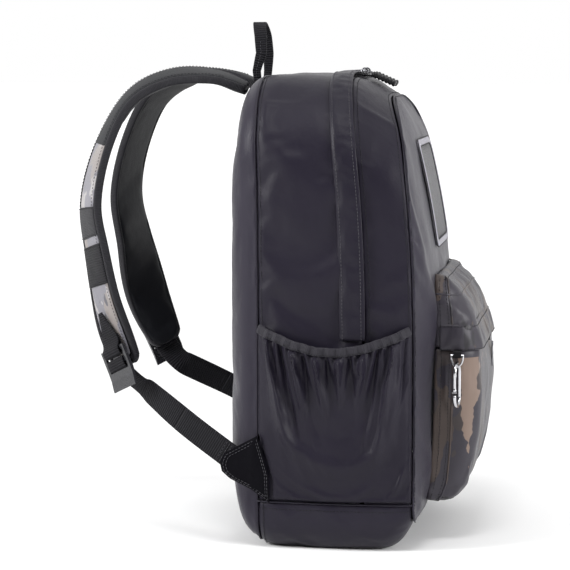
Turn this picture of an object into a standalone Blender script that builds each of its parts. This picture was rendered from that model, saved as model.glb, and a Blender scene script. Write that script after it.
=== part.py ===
"""Tackle backpack: a standing daypack with a zipped front lid, front pocket and curved shoulder straps.

Metres, +Z up. The origin is the centre of the base's resting face, on the plane of symmetry.
-Y is the front with the pocket, +Y the side that lies on the wearer's back, -X the wearer's left.
"""

import math

import bmesh
import bpy
from mathutils import Matrix, Vector

OBJECT_NAME = "tackle_backpack"

# Clearances and sheet thicknesses.
GAP = 0.0003
SEAM_GAP = 0.0006
SHELL = 0.0020
LINER = 0.0016
TAPE = 0.0008
WEBBING = 0.0012

# Body: each station is (depth position, half width, lowest z, highest z) of a rounded outline.
BODY_STATIONS = (
    (0.096, 0.112, 0.058, 0.430),
    (0.094, 0.126, 0.040, 0.442),
    (0.087, 0.139, 0.022, 0.453),
    (0.078, 0.145, 0.010, 0.459),
    (0.067, 0.147, 0.003, 0.461),
    (0.055, 0.150, 0.000, 0.462),
    (0.000, 0.153, 0.000, 0.462),
    (-0.037, 0.152, 0.000, 0.459),
    (-0.045, 0.151, 0.000, 0.457),
    (-0.060, 0.151, 0.001, 0.452),
    (-0.074, 0.149, 0.008, 0.446),
    (-0.085, 0.147, 0.028, 0.440),
)
BACK_FACE = 0.096
BACK_SEAM = 0.067
ZIP_LINE = -0.037
FRONT_SEAM = -0.085
TOP_RADII = ((0.096, 0.078), (0.000, 0.086), (-0.037, 0.098), (-0.085, 0.118))
BOTTOM_RADIUS = 0.030
BOOT_TOP = 0.0475
LID_LINE = 0.279
ZIP_END = 0.215
LEAN_START = 0.150
LEAN_HEIGHT = 0.312
LEAN = 0.022

# Crown of the front panel: (height, how far its middle stands in front of its seam).
CROWN = (
    (0.028, 0.000),
    (0.055, 0.009),
    (0.100, 0.015),
    (0.200, 0.017),
    (0.265, 0.016),
    (0.296, 0.014),
    (0.365, 0.008),
    (0.400, 0.005),
    (0.440, 0.000),
)

# Storm flap over the main zip: (depth position, height of its inner face over the gusset).
FLAP_ROWS = ((-0.014, 0.0006), (-0.017, 0.0030), (-0.027, 0.0050), (-0.037, 0.0050))
FLAP_LOW = 0.212

# Front pocket: (height, depth position of its face, half width).
POCKET_BODY_ROWS = (
    (0.0425, -0.108, 0.094),
    (0.0470, -0.120, 0.098),
    (0.0600, -0.132, 0.100),
    (0.0850, -0.139, 0.100),
    (0.1070, -0.142, 0.100),
    (0.1500, -0.146, 0.100),
    (0.1945, -0.144, 0.100),
)
POCKET_HOOD_ROWS = (
    (0.1955, -0.144, 0.100),
    (0.2170, -0.141, 0.100),
    (0.2280, -0.138, 0.100),
    (0.2400, -0.133, 0.100),
    (0.2530, -0.124, 0.098),
    (0.2620, -0.112, 0.093),
    (0.2665, -0.1085, 0.086),
)
POCKET_RIMS = ((0.0412, 0.090), (0.2675, 0.083))
POCKET_CORNER = 0.022
POCKET_ZIP = 0.195
POCKET_FLAP_ROWS = ((0.2185, 0.0009), (0.2150, 0.0026), (0.2060, 0.0034), (0.1935, 0.0034))
POCKET_FLANGE = -0.112
POCKET_SLIDER_X = 0.045

# Side pockets: open bags on both sides, gathered by an elastic hem.
SIDE_POCKET_REAR = 0.066
SIDE_POCKET_FRONT = -0.083
SIDE_POCKET_LOW = 0.0505
SIDE_POCKET_CUT = ((0.070, 0.015), (0.115, 0.000))
SIDE_POCKET_RIM = 0.2135
SIDE_POCKET_SAG = 0.020
SIDE_POCKET_BULGE = 0.015
HEM_HEIGHT = 0.0090
HEM_THICKNESS = 0.0022

# Patch on the lid.
PATCH_CENTRE_Z = 0.3435
PATCH_HALF = (0.060, 0.0530)
PATCH_BORDER = 0.006
PATCH_RADIUS = 0.010

# Main zip sliders, parked at the top.
SLIDER_SIZE = (0.014, 0.012, 0.0020)
SLIDER_PARK_X = 0.010
SLIDER_REAR_Y = -0.0120
SLIDER_LIFT = 0.0010
PULL_SLOPE = math.radians(24)
PULL_LENGTH = 0.034

# Haul loop: webbing standing in an upside-down U.
HAUL_HALF_SPAN = 0.024
HAUL_BASE = Vector((0.0, 0.0865, 0.461))
HAUL_TOP = 0.5140
HAUL_CORNER = 0.014
HAUL_THICKNESS = 0.0024

# Shoulder strap on the left side; the right one is its mirror image.
STRAP_ROUTE = (
    (-0.045, 0.0885, 0.447),
    (-0.050, 0.1260, 0.464),
    (-0.058, 0.1720, 0.462),
    (-0.066, 0.2120, 0.439),
    (-0.074, 0.2380, 0.390),
    (-0.080, 0.2505, 0.333),
    (-0.085, 0.2430, 0.281),
    (-0.091, 0.2290, 0.220),
    (-0.097, 0.2070, 0.168),
    (-0.100, 0.1960, 0.150),
)
STRAP_TWIST = ((0.00, 0.0), (0.10, 12.0), (0.22, 23.0), (0.30, 31.0), (0.36, 48.0), (0.40, 58.0), (0.42, 59.0))
STRAP_HALF_WIDTH = 0.033
STRAP_END_TAPER = 0.100
STRAP_END_HALF_WIDTH = 0.016
STRAP_PAD_END = 0.420
PAD_THICKNESS = 0.0090
FACE_THICKNESS = 0.0020
YOKE_START = 0.0075
YOKE_RADIUS = 0.036
YOKE_CLEARANCE = 0.003
YOKE_HALF_WIDTH = 0.029
BAND_UPPER = (0.254, 0.285)
BAND_RISE = 0.0012  # the lower band stands this much further off, over the twist
BAND_LOWER = (0.293, 0.334)
STRAP_ANCHOR = Vector((-0.149, 0.088, 0.087))
WEBBING_MIDDLE = Vector((-0.127, 0.140, 0.118))
ANCHOR_RADIUS = 0.0140

# Ladder lock: s runs down along the strap from its top edge, n stands off the strap's face.
LOCK_AT = 0.400
LOCK_HALF_WIDTH = 0.0170
LOCK_SLOT_HALF_WIDTH = 0.0138
LOCK_PROFILE = (
    (0.0002, 0.0075), (0.0240, 0.0070), (0.0320, 0.0080), (0.0420, 0.0120),
    (0.0425, 0.0135), (0.0405, 0.0135), (0.0310, 0.0115), (0.0240, 0.0110), (0.0002, 0.0105),
)
LOCK_SLOTS = ((0.0036, 0.0120), (0.0170, 0.0237))
TAB_PATH = (
    (-0.038, 0.0045), (-0.006, 0.0042), (0.0000, 0.0050), (0.0052, 0.0054), (0.0062, 0.0090),
    (0.0050, 0.0124), (-0.0010, 0.0124), (-0.0055, 0.0072), (-0.0260, 0.0068),
)
TAB_WIDTHS = (0.002, 0.0125, 0.0125, 0.0125, 0.0125, 0.0125, 0.0125, 0.0125, 0.0115)
WRAP_PATH = (
    (0.0420, -0.0080), (0.0350, -0.0020), (0.0290, 0.0022), (0.0240, 0.0040), (0.0140, 0.0040),
    (0.0098, 0.0060), (0.0092, 0.0112), (0.0112, 0.0124), (0.0178, 0.0124), (0.0200, 0.0104),
    (0.0212, 0.0066), (0.0248, 0.0056), (0.0300, 0.0038), (0.0360, -0.0002), (0.0400, -0.0036),
)
WEBBING_HALF_WIDTH = 0.0125

# D-ring and carabiner on the left side of the front pocket.
RING_X = -0.1125
RING_Y = -0.124
RING_BAR_Z = 0.1903
RING_LOW_Z = 0.1786
RING_HALF = 0.0060
RING_WIRE = 0.0010
CARABINER_WIRE = 0.0019
CARABINER_TURN = math.radians(10)
CARABINER_HALF = 0.0091
CARABINER_TOP = 0.0032
CARABINER_LENGTH = 0.0420
GATE_PIN_DROP = 0.0240
GATE_RADIUS = 0.0017
GATE_PIN_RADIUS = 0.0006


def clear_scene():
    for obj in list(bpy.data.objects):
        bpy.data.objects.remove(obj, do_unlink=True)


def collection(name):
    made = bpy.data.collections.new(name)
    bpy.context.scene.collection.children.link(made)
    return made


def material(name, colour, roughness, metallic=0.0):
    made = bpy.data.materials.new(name)
    made.use_nodes = True
    shader = made.node_tree.nodes["Principled BSDF"]
    shader.inputs["Base Color"].default_value = (*colour, 1.0)
    shader.inputs["Roughness"].default_value = roughness
    shader.inputs["Metallic"].default_value = metallic
    return made


def add_object(name, mesh, mat, smooth=False):
    obj = bpy.data.objects.new(name, mesh)
    mesh.materials.append(mat)
    if smooth:
        mesh.shade_smooth()
        mesh.set_sharp_from_angle(angle=math.radians(40))
    PARTS.objects.link(obj)
    return obj


def interpolate(table, at, column=1):
    """Read one column of a table whose first column rises or falls steadily."""
    rows = sorted(table)
    if at <= rows[0][0]:
        return rows[0][column]
    for low, high in zip(rows, rows[1:]):
        if at <= high[0]:
            share = (at - low[0]) / (high[0] - low[0])
            return low[column] + (high[column] - low[column]) * share
    return rows[-1][column]


def steps(start, end, count):
    return [start + (end - start) * i / count for i in range(count + 1)]


# ---------------------------------------------------------------- meshes


def grid_mesh(name, rows, closed=False, caps=(False, False)):
    """Quads between rows of points; closed joins each row's ends, caps fill the first and last row."""
    mesh = bpy.data.meshes.new(name)
    shape = bmesh.new()
    verts = [[shape.verts.new(point) for point in row] for row in rows]
    count = len(rows[0])
    last = count if closed else count - 1
    for upper, lower in zip(verts, verts[1:]):
        for i in range(last):
            j = (i + 1) % count
            shape.faces.new((upper[i], upper[j], lower[j], lower[i]))
    if caps[0]:
        shape.faces.new(list(reversed(verts[0])))
    if caps[1]:
        shape.faces.new(verts[-1])
    bmesh.ops.recalc_face_normals(shape, faces=shape.faces)
    shape.to_mesh(mesh)
    shape.free()
    return mesh


def face_away(mesh, centre):
    """Flip an open surface whose faces look towards the centre instead of away from it."""
    outward = sum((face.center - centre).dot(face.normal) * face.area for face in mesh.polygons)
    if outward < 0:
        mesh.flip_normals()


def sheet(name, rows, thickness, mat, centre, outward=False, closed=False, cap=False):
    """Cloth or webbing: an open surface that Solidify makes into one closed body."""
    mesh = grid_mesh(name, rows, closed, (False, cap))
    face_away(mesh, Vector(centre))
    obj = add_object(name, mesh, mat)
    solid = obj.modifiers.new("thickness", "SOLIDIFY")
    solid.thickness = thickness
    solid.offset = 1.0 if outward else -1.0
    solid.use_even_offset = True
    return obj


def loft(name, rows, mat):
    """A closed body through closed outlines, capped at both ends."""
    return add_object(name, grid_mesh(name, rows, True, (True, True)), mat)


def box(name, size, centre, mat, turn=None):
    mesh = bpy.data.meshes.new(name)
    shape = bmesh.new()
    bmesh.ops.create_cube(shape, size=1.0)
    place = Matrix.Translation(centre) @ (turn or Matrix.Identity(4)) @ Matrix.Diagonal((*size, 1.0))
    shape.transform(place)
    shape.to_mesh(mesh)
    shape.free()
    return add_object(name, mesh, mat)


def rod(name, radius, start, end, mat, sides=12):
    """A capped cylinder from one point to another."""
    start = Vector(start)
    along = Vector(end) - start
    mesh = bpy.data.meshes.new(name)
    shape = bmesh.new()
    bmesh.ops.create_cone(shape, cap_ends=True, segments=sides, radius1=radius, radius2=radius,
                          depth=along.length)
    turn = along.to_track_quat("Z", "Y").to_matrix().to_4x4()
    shape.transform(Matrix.Translation(start + along / 2) @ turn)
    shape.to_mesh(mesh)
    shape.free()
    return add_object(name, mesh, mat, smooth=True)


def curve_to_mesh(name, curve, place, mat):
    """Turn a curve into one closed mesh with its caps welded on."""
    guide = bpy.data.objects.new(name, curve)
    guide.matrix_world = place
    PARTS.objects.link(guide)
    evaluated = guide.evaluated_get(bpy.context.evaluated_depsgraph_get())
    mesh = bpy.data.meshes.new_from_object(evaluated)
    mesh.transform(place)
    bpy.data.objects.remove(guide, do_unlink=True)
    shape = bmesh.new()
    shape.from_mesh(mesh)
    bmesh.ops.remove_doubles(shape, verts=shape.verts, dist=0.00001)
    bmesh.ops.recalc_face_normals(shape, faces=shape.faces)
    shape.to_mesh(mesh)
    shape.free()
    mesh.materials.clear()
    return add_object(name, mesh, mat, smooth=True)


def tube(name, points, radius, mat, cyclic=False):
    curve = bpy.data.curves.new(name, "CURVE")
    curve.dimensions = "3D"
    curve.bevel_depth = radius
    curve.bevel_resolution = 2
    curve.use_fill_caps = True
    spline = curve.splines.new("POLY")
    spline.points.add(len(points) - 1)
    for target, point in zip(spline.points, points):
        target.co = (*point, 1.0)
    spline.use_cyclic_u = cyclic
    return curve_to_mesh(name, curve, Matrix.Identity(4), mat)


def prism(name, outline, half_thickness, place, mat):
    """A flat outline in its own XY plane, thick along its own Z, moved to its place."""
    curve = bpy.data.curves.new(name, "CURVE")
    curve.dimensions = "2D"
    curve.fill_mode = "BOTH"
    curve.extrude = half_thickness
    spline = curve.splines.new("POLY")
    spline.points.add(len(outline) - 1)
    for target, (x, y) in zip(spline.points, outline):
        target.co = (x, y, 0.0, 1.0)
    spline.use_cyclic_u = True
    return curve_to_mesh(name, curve, place, mat)


def cut(obj, cutter, operation="DIFFERENCE"):
    PARTS.objects.unlink(cutter)
    CUTTERS.objects.link(cutter)
    cutter.hide_render = True
    cutter.display_type = "WIRE"
    change = obj.modifiers.new("boolean", "BOOLEAN")
    change.operation = operation
    change.object = cutter
    change.solver = "EXACT"


def mirrored(name, source):
    """A copy of a left-hand piece, reflected to the right."""
    mesh = source.data.copy()
    mesh.transform(Matrix.Scale(-1.0, 4, (1.0, 0.0, 0.0)))
    mesh.flip_normals()
    obj = bpy.data.objects.new(name, mesh)
    PARTS.objects.link(obj)
    for old in source.modifiers:
        new = obj.modifiers.new(old.name, old.type)
        if old.type == "SOLIDIFY":
            new.thickness = old.thickness
            new.offset = old.offset
            new.use_even_offset = True
        if old.type == "BOOLEAN":
            new.operation = old.operation
            new.solver = "EXACT"
            cutter = bpy.data.objects.new(old.object.name + "_right", old.object.data.copy())
            cutter.data.transform(Matrix.Scale(-1.0, 4, (1.0, 0.0, 0.0)))
            cutter.data.flip_normals()
            cutter.hide_render = True
            cutter.display_type = "WIRE"
            CUTTERS.objects.link(cutter)
            new.object = cutter
    return obj


# ---------------------------------------------------------------- body outline


def lean(y0, z):
    """How far the narrowing top of the bag moves a station towards the back."""
    share = min(max((z - LEAN_START) / LEAN_HEIGHT, 0.0), 1.0)
    return LEAN * share ** 3 * (BACK_FACE - y0) / (BACK_FACE - ZIP_LINE)


def body_point(y0, x, z):
    return Vector((x, y0 + lean(y0, z), z))


def section(y0, inset=0.0):
    """Half width, lowest and highest z, and the bottom corner radius of the body at a station."""
    half_width = interpolate(BODY_STATIONS, y0, 1) - inset
    low = interpolate(BODY_STATIONS, y0, 2) + inset
    high = interpolate(BODY_STATIONS, y0, 3) - inset
    radius = BOTTOM_RADIUS
    if y0 < 0:
        radius = min(BOTTOM_RADIUS, BOOT_TOP - 0.004 - low + inset)
    return half_width, low, high, radius - inset


def top_radius(y0):
    return interpolate(TOP_RADII, y0)


def arch(y0, z_low, inset=0.0):
    """Points up the left side, over the top and down the right side."""
    half_width, _, high, _ = section(y0, inset)
    radius = top_radius(y0) - inset
    left = [(-half_width, z) for z in steps(z_low, high - radius, 3)[:-1]]
    for angle in steps(0.0, math.pi / 2, 6):
        x = -half_width + radius - radius * math.cos(angle)
        left.append((x, high - radius + radius * math.sin(angle)))
    right = [(-x, z) for x, z in reversed(left)]
    return [body_point(y0, x, z) for x, z in left + [(0.0, high)] + right]


def tray(y0, z_high, inset=0.0):
    """Points down the left side, across the bottom and up the right side."""
    half_width, low, _, radius = section(y0, inset)
    left = [(-half_width, z_high)]
    for angle in steps(0.0, math.pi / 2, 5):
        x = -half_width + radius - radius * math.cos(angle)
        left.append((x, low + radius - radius * math.sin(angle)))
    right = [(-x, z) for x, z in reversed(left)]
    return [body_point(y0, x, z) for x, z in left + [(0.0, low)] + right]


def outline(y0, inset=0.0, shift=0.0):
    """The whole closed outline at a station, read a little further back if shifted."""
    source = min(y0 + shift, BACK_FACE)
    half_width, low, high, bottom = section(source, inset)
    top = top_radius(source) - inset
    quarter = []
    for angle in steps(0.0, math.pi / 2, 6):
        x = half_width - top + top * math.cos(angle)
        quarter.append((x, high - top + top * math.sin(angle)))
    lower = []
    for angle in steps(0.0, math.pi / 2, 4):
        x = half_width - bottom + bottom * math.sin(angle)
        lower.append((x, low + bottom - bottom * math.cos(angle)))
    middle = (half_width, (lower[-1][1] + quarter[0][1]) / 2)
    right = lower + [middle] + quarter
    left = [(-x, z) for x, z in reversed(right)]
    return [body_point(y0, x, z) for x, z in right + left]


def seam_half_width(z):
    """Half width of the front seam at a height."""
    half_width, low, high, bottom = section(FRONT_SEAM)
    top = top_radius(FRONT_SEAM)
    if z > high - top:
        rise = min(z - (high - top), top)
        return half_width - top + math.sqrt(top ** 2 - rise ** 2)
    if z < low + bottom:
        drop = min(low + bottom - z, bottom)
        return half_width - bottom + math.sqrt(bottom ** 2 - drop ** 2)
    return half_width


def panel_inner_y(x, z):
    """Inner face of the crowned front panel."""
    across = min(abs(x) / seam_half_width(z), 1.0)
    crown = interpolate(CROWN, z) * (1.0 - across ** 4)
    return FRONT_SEAM - GAP + lean(FRONT_SEAM, z) - crown


def panel_outer_y(x, z):
    return panel_inner_y(x, z) - SHELL - SEAM_GAP


# ---------------------------------------------------------------- body shells


def make_back():
    stations = (BACK_SEAM + GAP, 0.072, 0.078, 0.083, 0.087, 0.091, 0.094, BACK_FACE)
    rows = [outline(y0) for y0 in stations]
    sheet("back_cover", rows, LINER, MESH_CLOTH, (0, 0, 0.25), closed=True, cap=True)
    inset = LINER + 2 * GAP
    foam_stations = (BACK_SEAM + 2 * GAP, 0.076, 0.084, 0.089, BACK_FACE - inset)
    loft("back_foam", [outline(y0, inset, inset) for y0 in foam_stations], FOAM)
    lining_inset = SHELL + SEAM_GAP
    lining_rear = BACK_SEAM - 2 * SEAM_GAP
    loft("back_lining", [outline(y0, lining_inset) for y0 in (lining_rear, lining_rear - LINER)], LINING)


def make_gussets():
    centre = (0, 0, 0.2)
    rear = (BACK_SEAM - GAP, 0.055, 0.028, 0.0, ZIP_LINE + GAP)
    rows = [arch(y0, BOOT_TOP + GAP) for y0 in rear]
    sheet("rear_gusset", rows, SHELL, BODY_CLOTH, centre)
    front = (ZIP_LINE - GAP, -0.045, -0.060, FRONT_SEAM + GAP)
    rows = [arch(y0, LID_LINE + GAP) for y0 in front]
    sheet("lid_gusset", rows, SHELL, BODY_CLOTH, centre)
    rows = []
    for y0 in front:
        half_width = section(y0)[0]
        levels = steps(BOOT_TOP + GAP, LID_LINE - GAP, 4)
        rows.append([body_point(y0, -half_width, z) for z in levels])
    left = sheet("front_gusset_left", rows, SHELL, BODY_CLOTH, centre)
    mirrored("front_gusset_right", left)


def make_zip_tapes():
    centre = (0, 0, 0.2)
    inset = SHELL + SEAM_GAP
    rear = (ZIP_LINE + SEAM_GAP, ZIP_LINE + 0.011)
    rows = [arch(y0, ZIP_END, inset) for y0 in rear]
    sheet("zip_tape_rear", rows, TAPE, TAPE_CLOTH, centre)
    front = (ZIP_LINE - SEAM_GAP, ZIP_LINE - 0.011)
    rows = [arch(y0, LID_LINE + GAP, inset) for y0 in front]
    sheet("zip_tape_front", rows, TAPE, TAPE_CLOTH, centre)


def make_base():
    stations = (BACK_SEAM - GAP, 0.055, 0.0, ZIP_LINE, -0.045, -0.060, -0.074, FRONT_SEAM + GAP)
    rows = [tray(y0, BOOT_TOP - GAP) for y0 in stations]
    sheet("base_panel", rows, SHELL, BODY_CLOTH, (0, 0, 0.2))
    board = box("base_board", (0.226, 0.094, 0.0018), (0, 0.006, 0.0036), BOARD)
    board.modifiers.new("corners", "BEVEL").width = 0.0004


def panel_rows(levels):
    rows = []
    for z in levels:
        half = seam_half_width(z)
        rows.append([Vector((half * t, panel_inner_y(half * t, z), z)) for t in PANEL_COLUMNS])
    return rows


PANEL_COLUMNS = (-1.0, -0.93, -0.8, -0.6, -0.3, 0.0, 0.3, 0.6, 0.8, 0.93, 1.0)


def make_front_panels():
    centre = (0, 0.1, 0.25)
    low = section(FRONT_SEAM)[1]
    levels = (low + GAP, 0.034, 0.0435, 0.065, 0.100, 0.150, 0.200, 0.240, LID_LINE - GAP)
    sheet("front_panel_lower", panel_rows(levels), SHELL, BODY_CLOTH, centre, outward=True)
    top = top_radius(FRONT_SEAM)
    spring_line = section(FRONT_SEAM)[2] - top
    arc = [spring_line + top * math.sin(a) for a in steps(0.0, math.pi / 2 - 0.05, 8)]
    levels = [LID_LINE + GAP, 0.296] + arc
    sheet("lid_panel", panel_rows(levels), SHELL, BODY_CLOTH, centre, outward=True)


def make_storm_flap():
    rows = [arch(y0, FLAP_LOW, -rise) for y0, rise in FLAP_ROWS]
    sheet("storm_flap", rows, WEBBING, BODY_CLOTH, (0, 0, 0.2), outward=True)


# ---------------------------------------------------------------- patch


def rounded_rectangle(half_x, half_z, radius):
    """Closed loop of (x, z), anticlockwise from the right side."""
    loop = []
    for turn, (cx, cz) in enumerate(((1, 1), (-1, 1), (-1, -1), (1, -1))):
        for angle in steps(0.0, math.pi / 2, 3):
            a = angle + turn * math.pi / 2
            x = cx * (half_x - radius) + radius * math.cos(a)
            loop.append((x, cz * (half_z - radius) + radius * math.sin(a)))
    return loop


def on_lid(x, z, lift):
    return Vector((x, panel_outer_y(x, PATCH_CENTRE_Z + z) - lift, PATCH_CENTRE_Z + z))


def make_patch():
    centre = (0, 0.1, 0.30)
    loops = []
    for border in (0.0, PATCH_BORDER):
        loop = rounded_rectangle(PATCH_HALF[0] - border, PATCH_HALF[1] - border, PATCH_RADIUS - border / 2)
        loops.append([on_lid(x, z, GAP) for x, z in loop])
    sheet("patch_frame", loops, 0.0016, TRIM, centre, outward=True, closed=True)
    inner = PATCH_BORDER + SEAM_GAP
    half_x, half_z = PATCH_HALF[0] - inner, PATCH_HALF[1] - inner
    rows = []
    for z in (-1.0, -0.97, -0.85, -0.4, 0.0, 0.4, 0.85, 0.97, 1.0):
        rise = min(max(abs(z) * half_z - (half_z - PATCH_RADIUS), 0.0), PATCH_RADIUS)
        half = half_x - PATCH_RADIUS + math.sqrt(PATCH_RADIUS ** 2 - rise ** 2)
        rows.append([on_lid(x, z * half_z, GAP) for x in steps(-half, half, 4)])
    sheet("patch_field", rows, 0.0010, LOOP_PILE, centre, outward=True)


# ---------------------------------------------------------------- front pocket


def pocket_path(z, face_y, half_width, offset=0.0, start_y=None):
    """Points from the panel forward, round the corner, across the face and back."""
    half_width += offset
    face_y -= offset
    wall_y = panel_outer_y(half_width, z) - 2 * GAP if start_y is None else start_y
    radius = min(POCKET_CORNER + offset, 0.8 * (wall_y - face_y))
    left = [(-half_width, wall_y), (-half_width, (wall_y + face_y + radius) / 2)]
    for angle in steps(0.0, math.pi / 2, 4):
        x = -half_width + radius - radius * math.cos(angle)
        left.append((x, face_y + radius - radius * math.sin(angle)))
    right = [(-x, y) for x, y in reversed(left)]
    middle = [(x, face_y) for x in (-0.035, 0.0, 0.035)]
    return [Vector((x, y, z)) for x, y in left + middle + right]


def rim_path(z, half_width):
    """The pocket's sewn edge, lying along the front panel."""
    left = steps(-half_width, -half_width + POCKET_CORNER, 6)
    across = left + [-0.035, 0.0, 0.035] + [-x for x in reversed(left)]
    return [Vector((x, panel_outer_y(x, z) - 3 * GAP, z)) for x in across]


def pocket_row_at(z):
    rows = POCKET_BODY_ROWS + POCKET_HOOD_ROWS
    return interpolate(rows, z, 1), interpolate(rows, z, 2)


def make_front_pocket():
    centre = (0, -0.1, 0.15)
    body_rows = [rim_path(*POCKET_RIMS[0])] + [pocket_path(*row) for row in POCKET_BODY_ROWS]
    sheet("front_pocket_body", body_rows, SHELL, CAMO, centre)
    hood_rows = [pocket_path(*row) for row in POCKET_HOOD_ROWS] + [rim_path(*POCKET_RIMS[1])]
    sheet("front_pocket_hood", hood_rows, SHELL, CAMO, centre)
    flap_rows = []
    for z, rise in POCKET_FLAP_ROWS:
        face_y, half_width = pocket_row_at(z)
        flap_rows.append(pocket_path(z, face_y, half_width, rise, POCKET_FLANGE))
    sheet("front_pocket_flap", flap_rows, WEBBING, CAMO, centre, outward=True)
    tape_rows = []
    for z in (POCKET_ZIP - 0.007, POCKET_ZIP, POCKET_ZIP + 0.007):
        face_y, half_width = pocket_row_at(z)
        tape_rows.append(pocket_path(z, face_y, half_width, -SHELL - SEAM_GAP, POCKET_FLANGE))
    sheet("front_pocket_zip", tape_rows, TAPE, TAPE_CLOTH, centre)


def make_pocket_slider():
    face_y = pocket_row_at(POCKET_ZIP)[0]
    plate_y = face_y - 0.0015
    box("pocket_slider", (0.0100, 0.0016, 0.0130), (POCKET_SLIDER_X, plate_y, 0.1925), METAL)
    pull_y = pocket_row_at(0.150)[0] - 0.0020
    pull = box("pocket_pull", (0.0070, 0.0016, 0.0260), (POCKET_SLIDER_X, pull_y, 0.1715), METAL)
    pull.modifiers.new("corners", "BEVEL").width = 0.0005


# ---------------------------------------------------------------- side pockets


def side_pocket_point(share, height_share, z_rim, lift=0.0):
    """A point on the left pocket: share runs from the rear seam to the front one."""
    z = SIDE_POCKET_LOW + (z_rim - SIDE_POCKET_LOW) * height_share
    rear = SIDE_POCKET_REAR - interpolate(SIDE_POCKET_CUT, z)
    y0 = rear + (SIDE_POCKET_FRONT - rear) * share
    swell = math.sin(math.pi * share) ** 0.7 if 0.0 < share < 1.0 else 0.0
    bulge = SIDE_POCKET_BULGE * swell * height_share ** 0.6
    return body_point(y0, -section(y0)[0] - SEAM_GAP - bulge - lift, z)


def rim_height(share):
    return SIDE_POCKET_RIM - SIDE_POCKET_SAG * math.sin(math.pi * share)


def make_side_pockets():
    centre = (0.5, 0, 0.15)
    shares = steps(0.0, 1.0, 12)
    heights = (0.0, 0.08, 0.25, 0.5, 0.75, 1.0)
    rows = [[side_pocket_point(s, h, rim_height(s)) for s in shares] for h in heights]
    left = sheet("side_pocket_left", rows, LINER, BODY_CLOTH, centre, outward=True)
    mirrored("side_pocket_right", left)
    rows = []
    for rise in (GAP, HEM_HEIGHT):
        row = [side_pocket_point(s, 1.0, rim_height(s)) + Vector((0, 0, rise)) for s in shares]
        rows.append(row)
    left = sheet("pocket_hem_left", rows, HEM_THICKNESS, TRIM, centre, outward=True)
    mirrored("pocket_hem_right", left)


# ---------------------------------------------------------------- zip sliders


def make_main_sliders():
    zip_top = section(ZIP_LINE)[2]
    plate_low = zip_top + SLIDER_LIFT
    width, depth, height = SLIDER_SIZE
    plate_y = SLIDER_REAR_Y - depth / 2
    for side, sign in (("left", -1), ("right", 1)):
        x = sign * SLIDER_PARK_X
        slider = box(f"main_slider_{side}", SLIDER_SIZE, (x, plate_y, plate_low + height / 2), METAL)
        bridge_y = plate_y - 0.0022
        top = plate_low + height
        arc = [(x, bridge_y + 0.0036 * math.cos(a), top + 0.0052 * math.sin(a) - 0.0004)
               for a in steps(math.pi, 0.0, 8)]
        bridge = tube(f"bridge_{side}", arc, 0.0008, METAL)
        cut(slider, bridge, "UNION")
        hinge = Vector((x, bridge_y - 0.0006, top + 0.0026))
        turn = Matrix.Rotation(PULL_SLOPE, 4, "X")
        grip_mid = hinge + turn @ Vector((0, -0.0085 - (PULL_LENGTH - 0.0085) / 2, 0))
        grip_size = (0.0085, PULL_LENGTH - 0.0085, 0.0058)
        pull = box(f"main_pull_{side}", grip_size, grip_mid, RUBBER, turn)
        eye_mid = hinge + turn @ Vector((0, -0.0045, 0))
        eye = box(f"eye_{side}", (0.0070, 0.0106, 0.0012), eye_mid, METAL, turn)
        cut(pull, eye, "UNION")
        hole_mid = hinge + turn @ Vector((0, -0.0036, 0))
        hole = box(f"hole_{side}", (0.0040, 0.0058, 0.0040), hole_mid, METAL, turn)
        cut(pull, hole)


# ---------------------------------------------------------------- haul loop


def make_haul_loop():
    """Webbing up one leg, across the top and down the other, narrow where the legs are folded."""
    base_z = HAUL_BASE.z
    path = [(-HAUL_HALF_SPAN, base_z), (-HAUL_HALF_SPAN, base_z + 0.012), (-HAUL_HALF_SPAN, base_z + 0.024)]
    for angle in steps(0.0, math.pi / 2, 5):
        x = -HAUL_HALF_SPAN + HAUL_CORNER - HAUL_CORNER * math.cos(angle)
        path.append((x, HAUL_TOP - HAUL_CORNER + HAUL_CORNER * math.sin(angle)))
    path += [(-x, z) for x, z in reversed(path)]
    rows = []
    for x, z in path:
        share = min((z - base_z) / 0.024, 1.0)
        half = 0.004 + 0.0035 * share
        rows.append([Vector((x, HAUL_BASE.y + side * half, z)) for side in (-1, 1)])
    sheet("haul_loop", rows, HAUL_THICKNESS, WEB, (0, HAUL_BASE.y, 0.48), outward=False)


# ---------------------------------------------------------------- shoulder straps


def catmull(points, per_span=12):
    """A smooth curve through the points, as a dense list."""
    points = [Vector(p) for p in points]
    ends = [2 * points[0] - points[1]] + points + [2 * points[-1] - points[-2]]
    dense = []
    for a, b, c, d in zip(ends, ends[1:], ends[2:], ends[3:]):
        for t in (i / per_span for i in range(per_span)):
            dense.append(0.5 * ((2 * b) + (c - a) * t + (2 * a - 5 * b + 4 * c - d) * t ** 2
                                + (3 * b - a - 3 * c + d) * t ** 3))
    return dense + [points[-1]]


class Route:
    """A curve read by the distance along it."""

    def __init__(self, points):
        self.points = catmull(points)
        self.marks = [0.0]
        for a, b in zip(self.points, self.points[1:]):
            self.marks.append(self.marks[-1] + (b - a).length)

    def at(self, distance):
        for i, mark in enumerate(self.marks[1:]):
            if distance <= mark or i == len(self.points) - 2:
                a, b = self.points[i], self.points[i + 1]
                return a.lerp(b, (distance - self.marks[i]) / (b - a).length)
        return self.points[-1]

    def tangent(self, distance):
        return (self.at(distance + 0.004) - self.at(distance - 0.004)).normalized()


def strap_frame(distance):
    """Origin, width direction and outward normal of the left strap at a distance along it."""
    tangent = STRAP.tangent(distance)
    across = Vector((1, 0, 0))
    across = (across - tangent * across.dot(tangent)).normalized()
    normal = across.cross(tangent)
    twist = math.radians(interpolate(STRAP_TWIST, distance))
    width = across * math.cos(twist) + normal * math.sin(twist)
    outward = normal * math.cos(twist) - across * math.sin(twist)
    return STRAP.at(distance), width, outward


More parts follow.
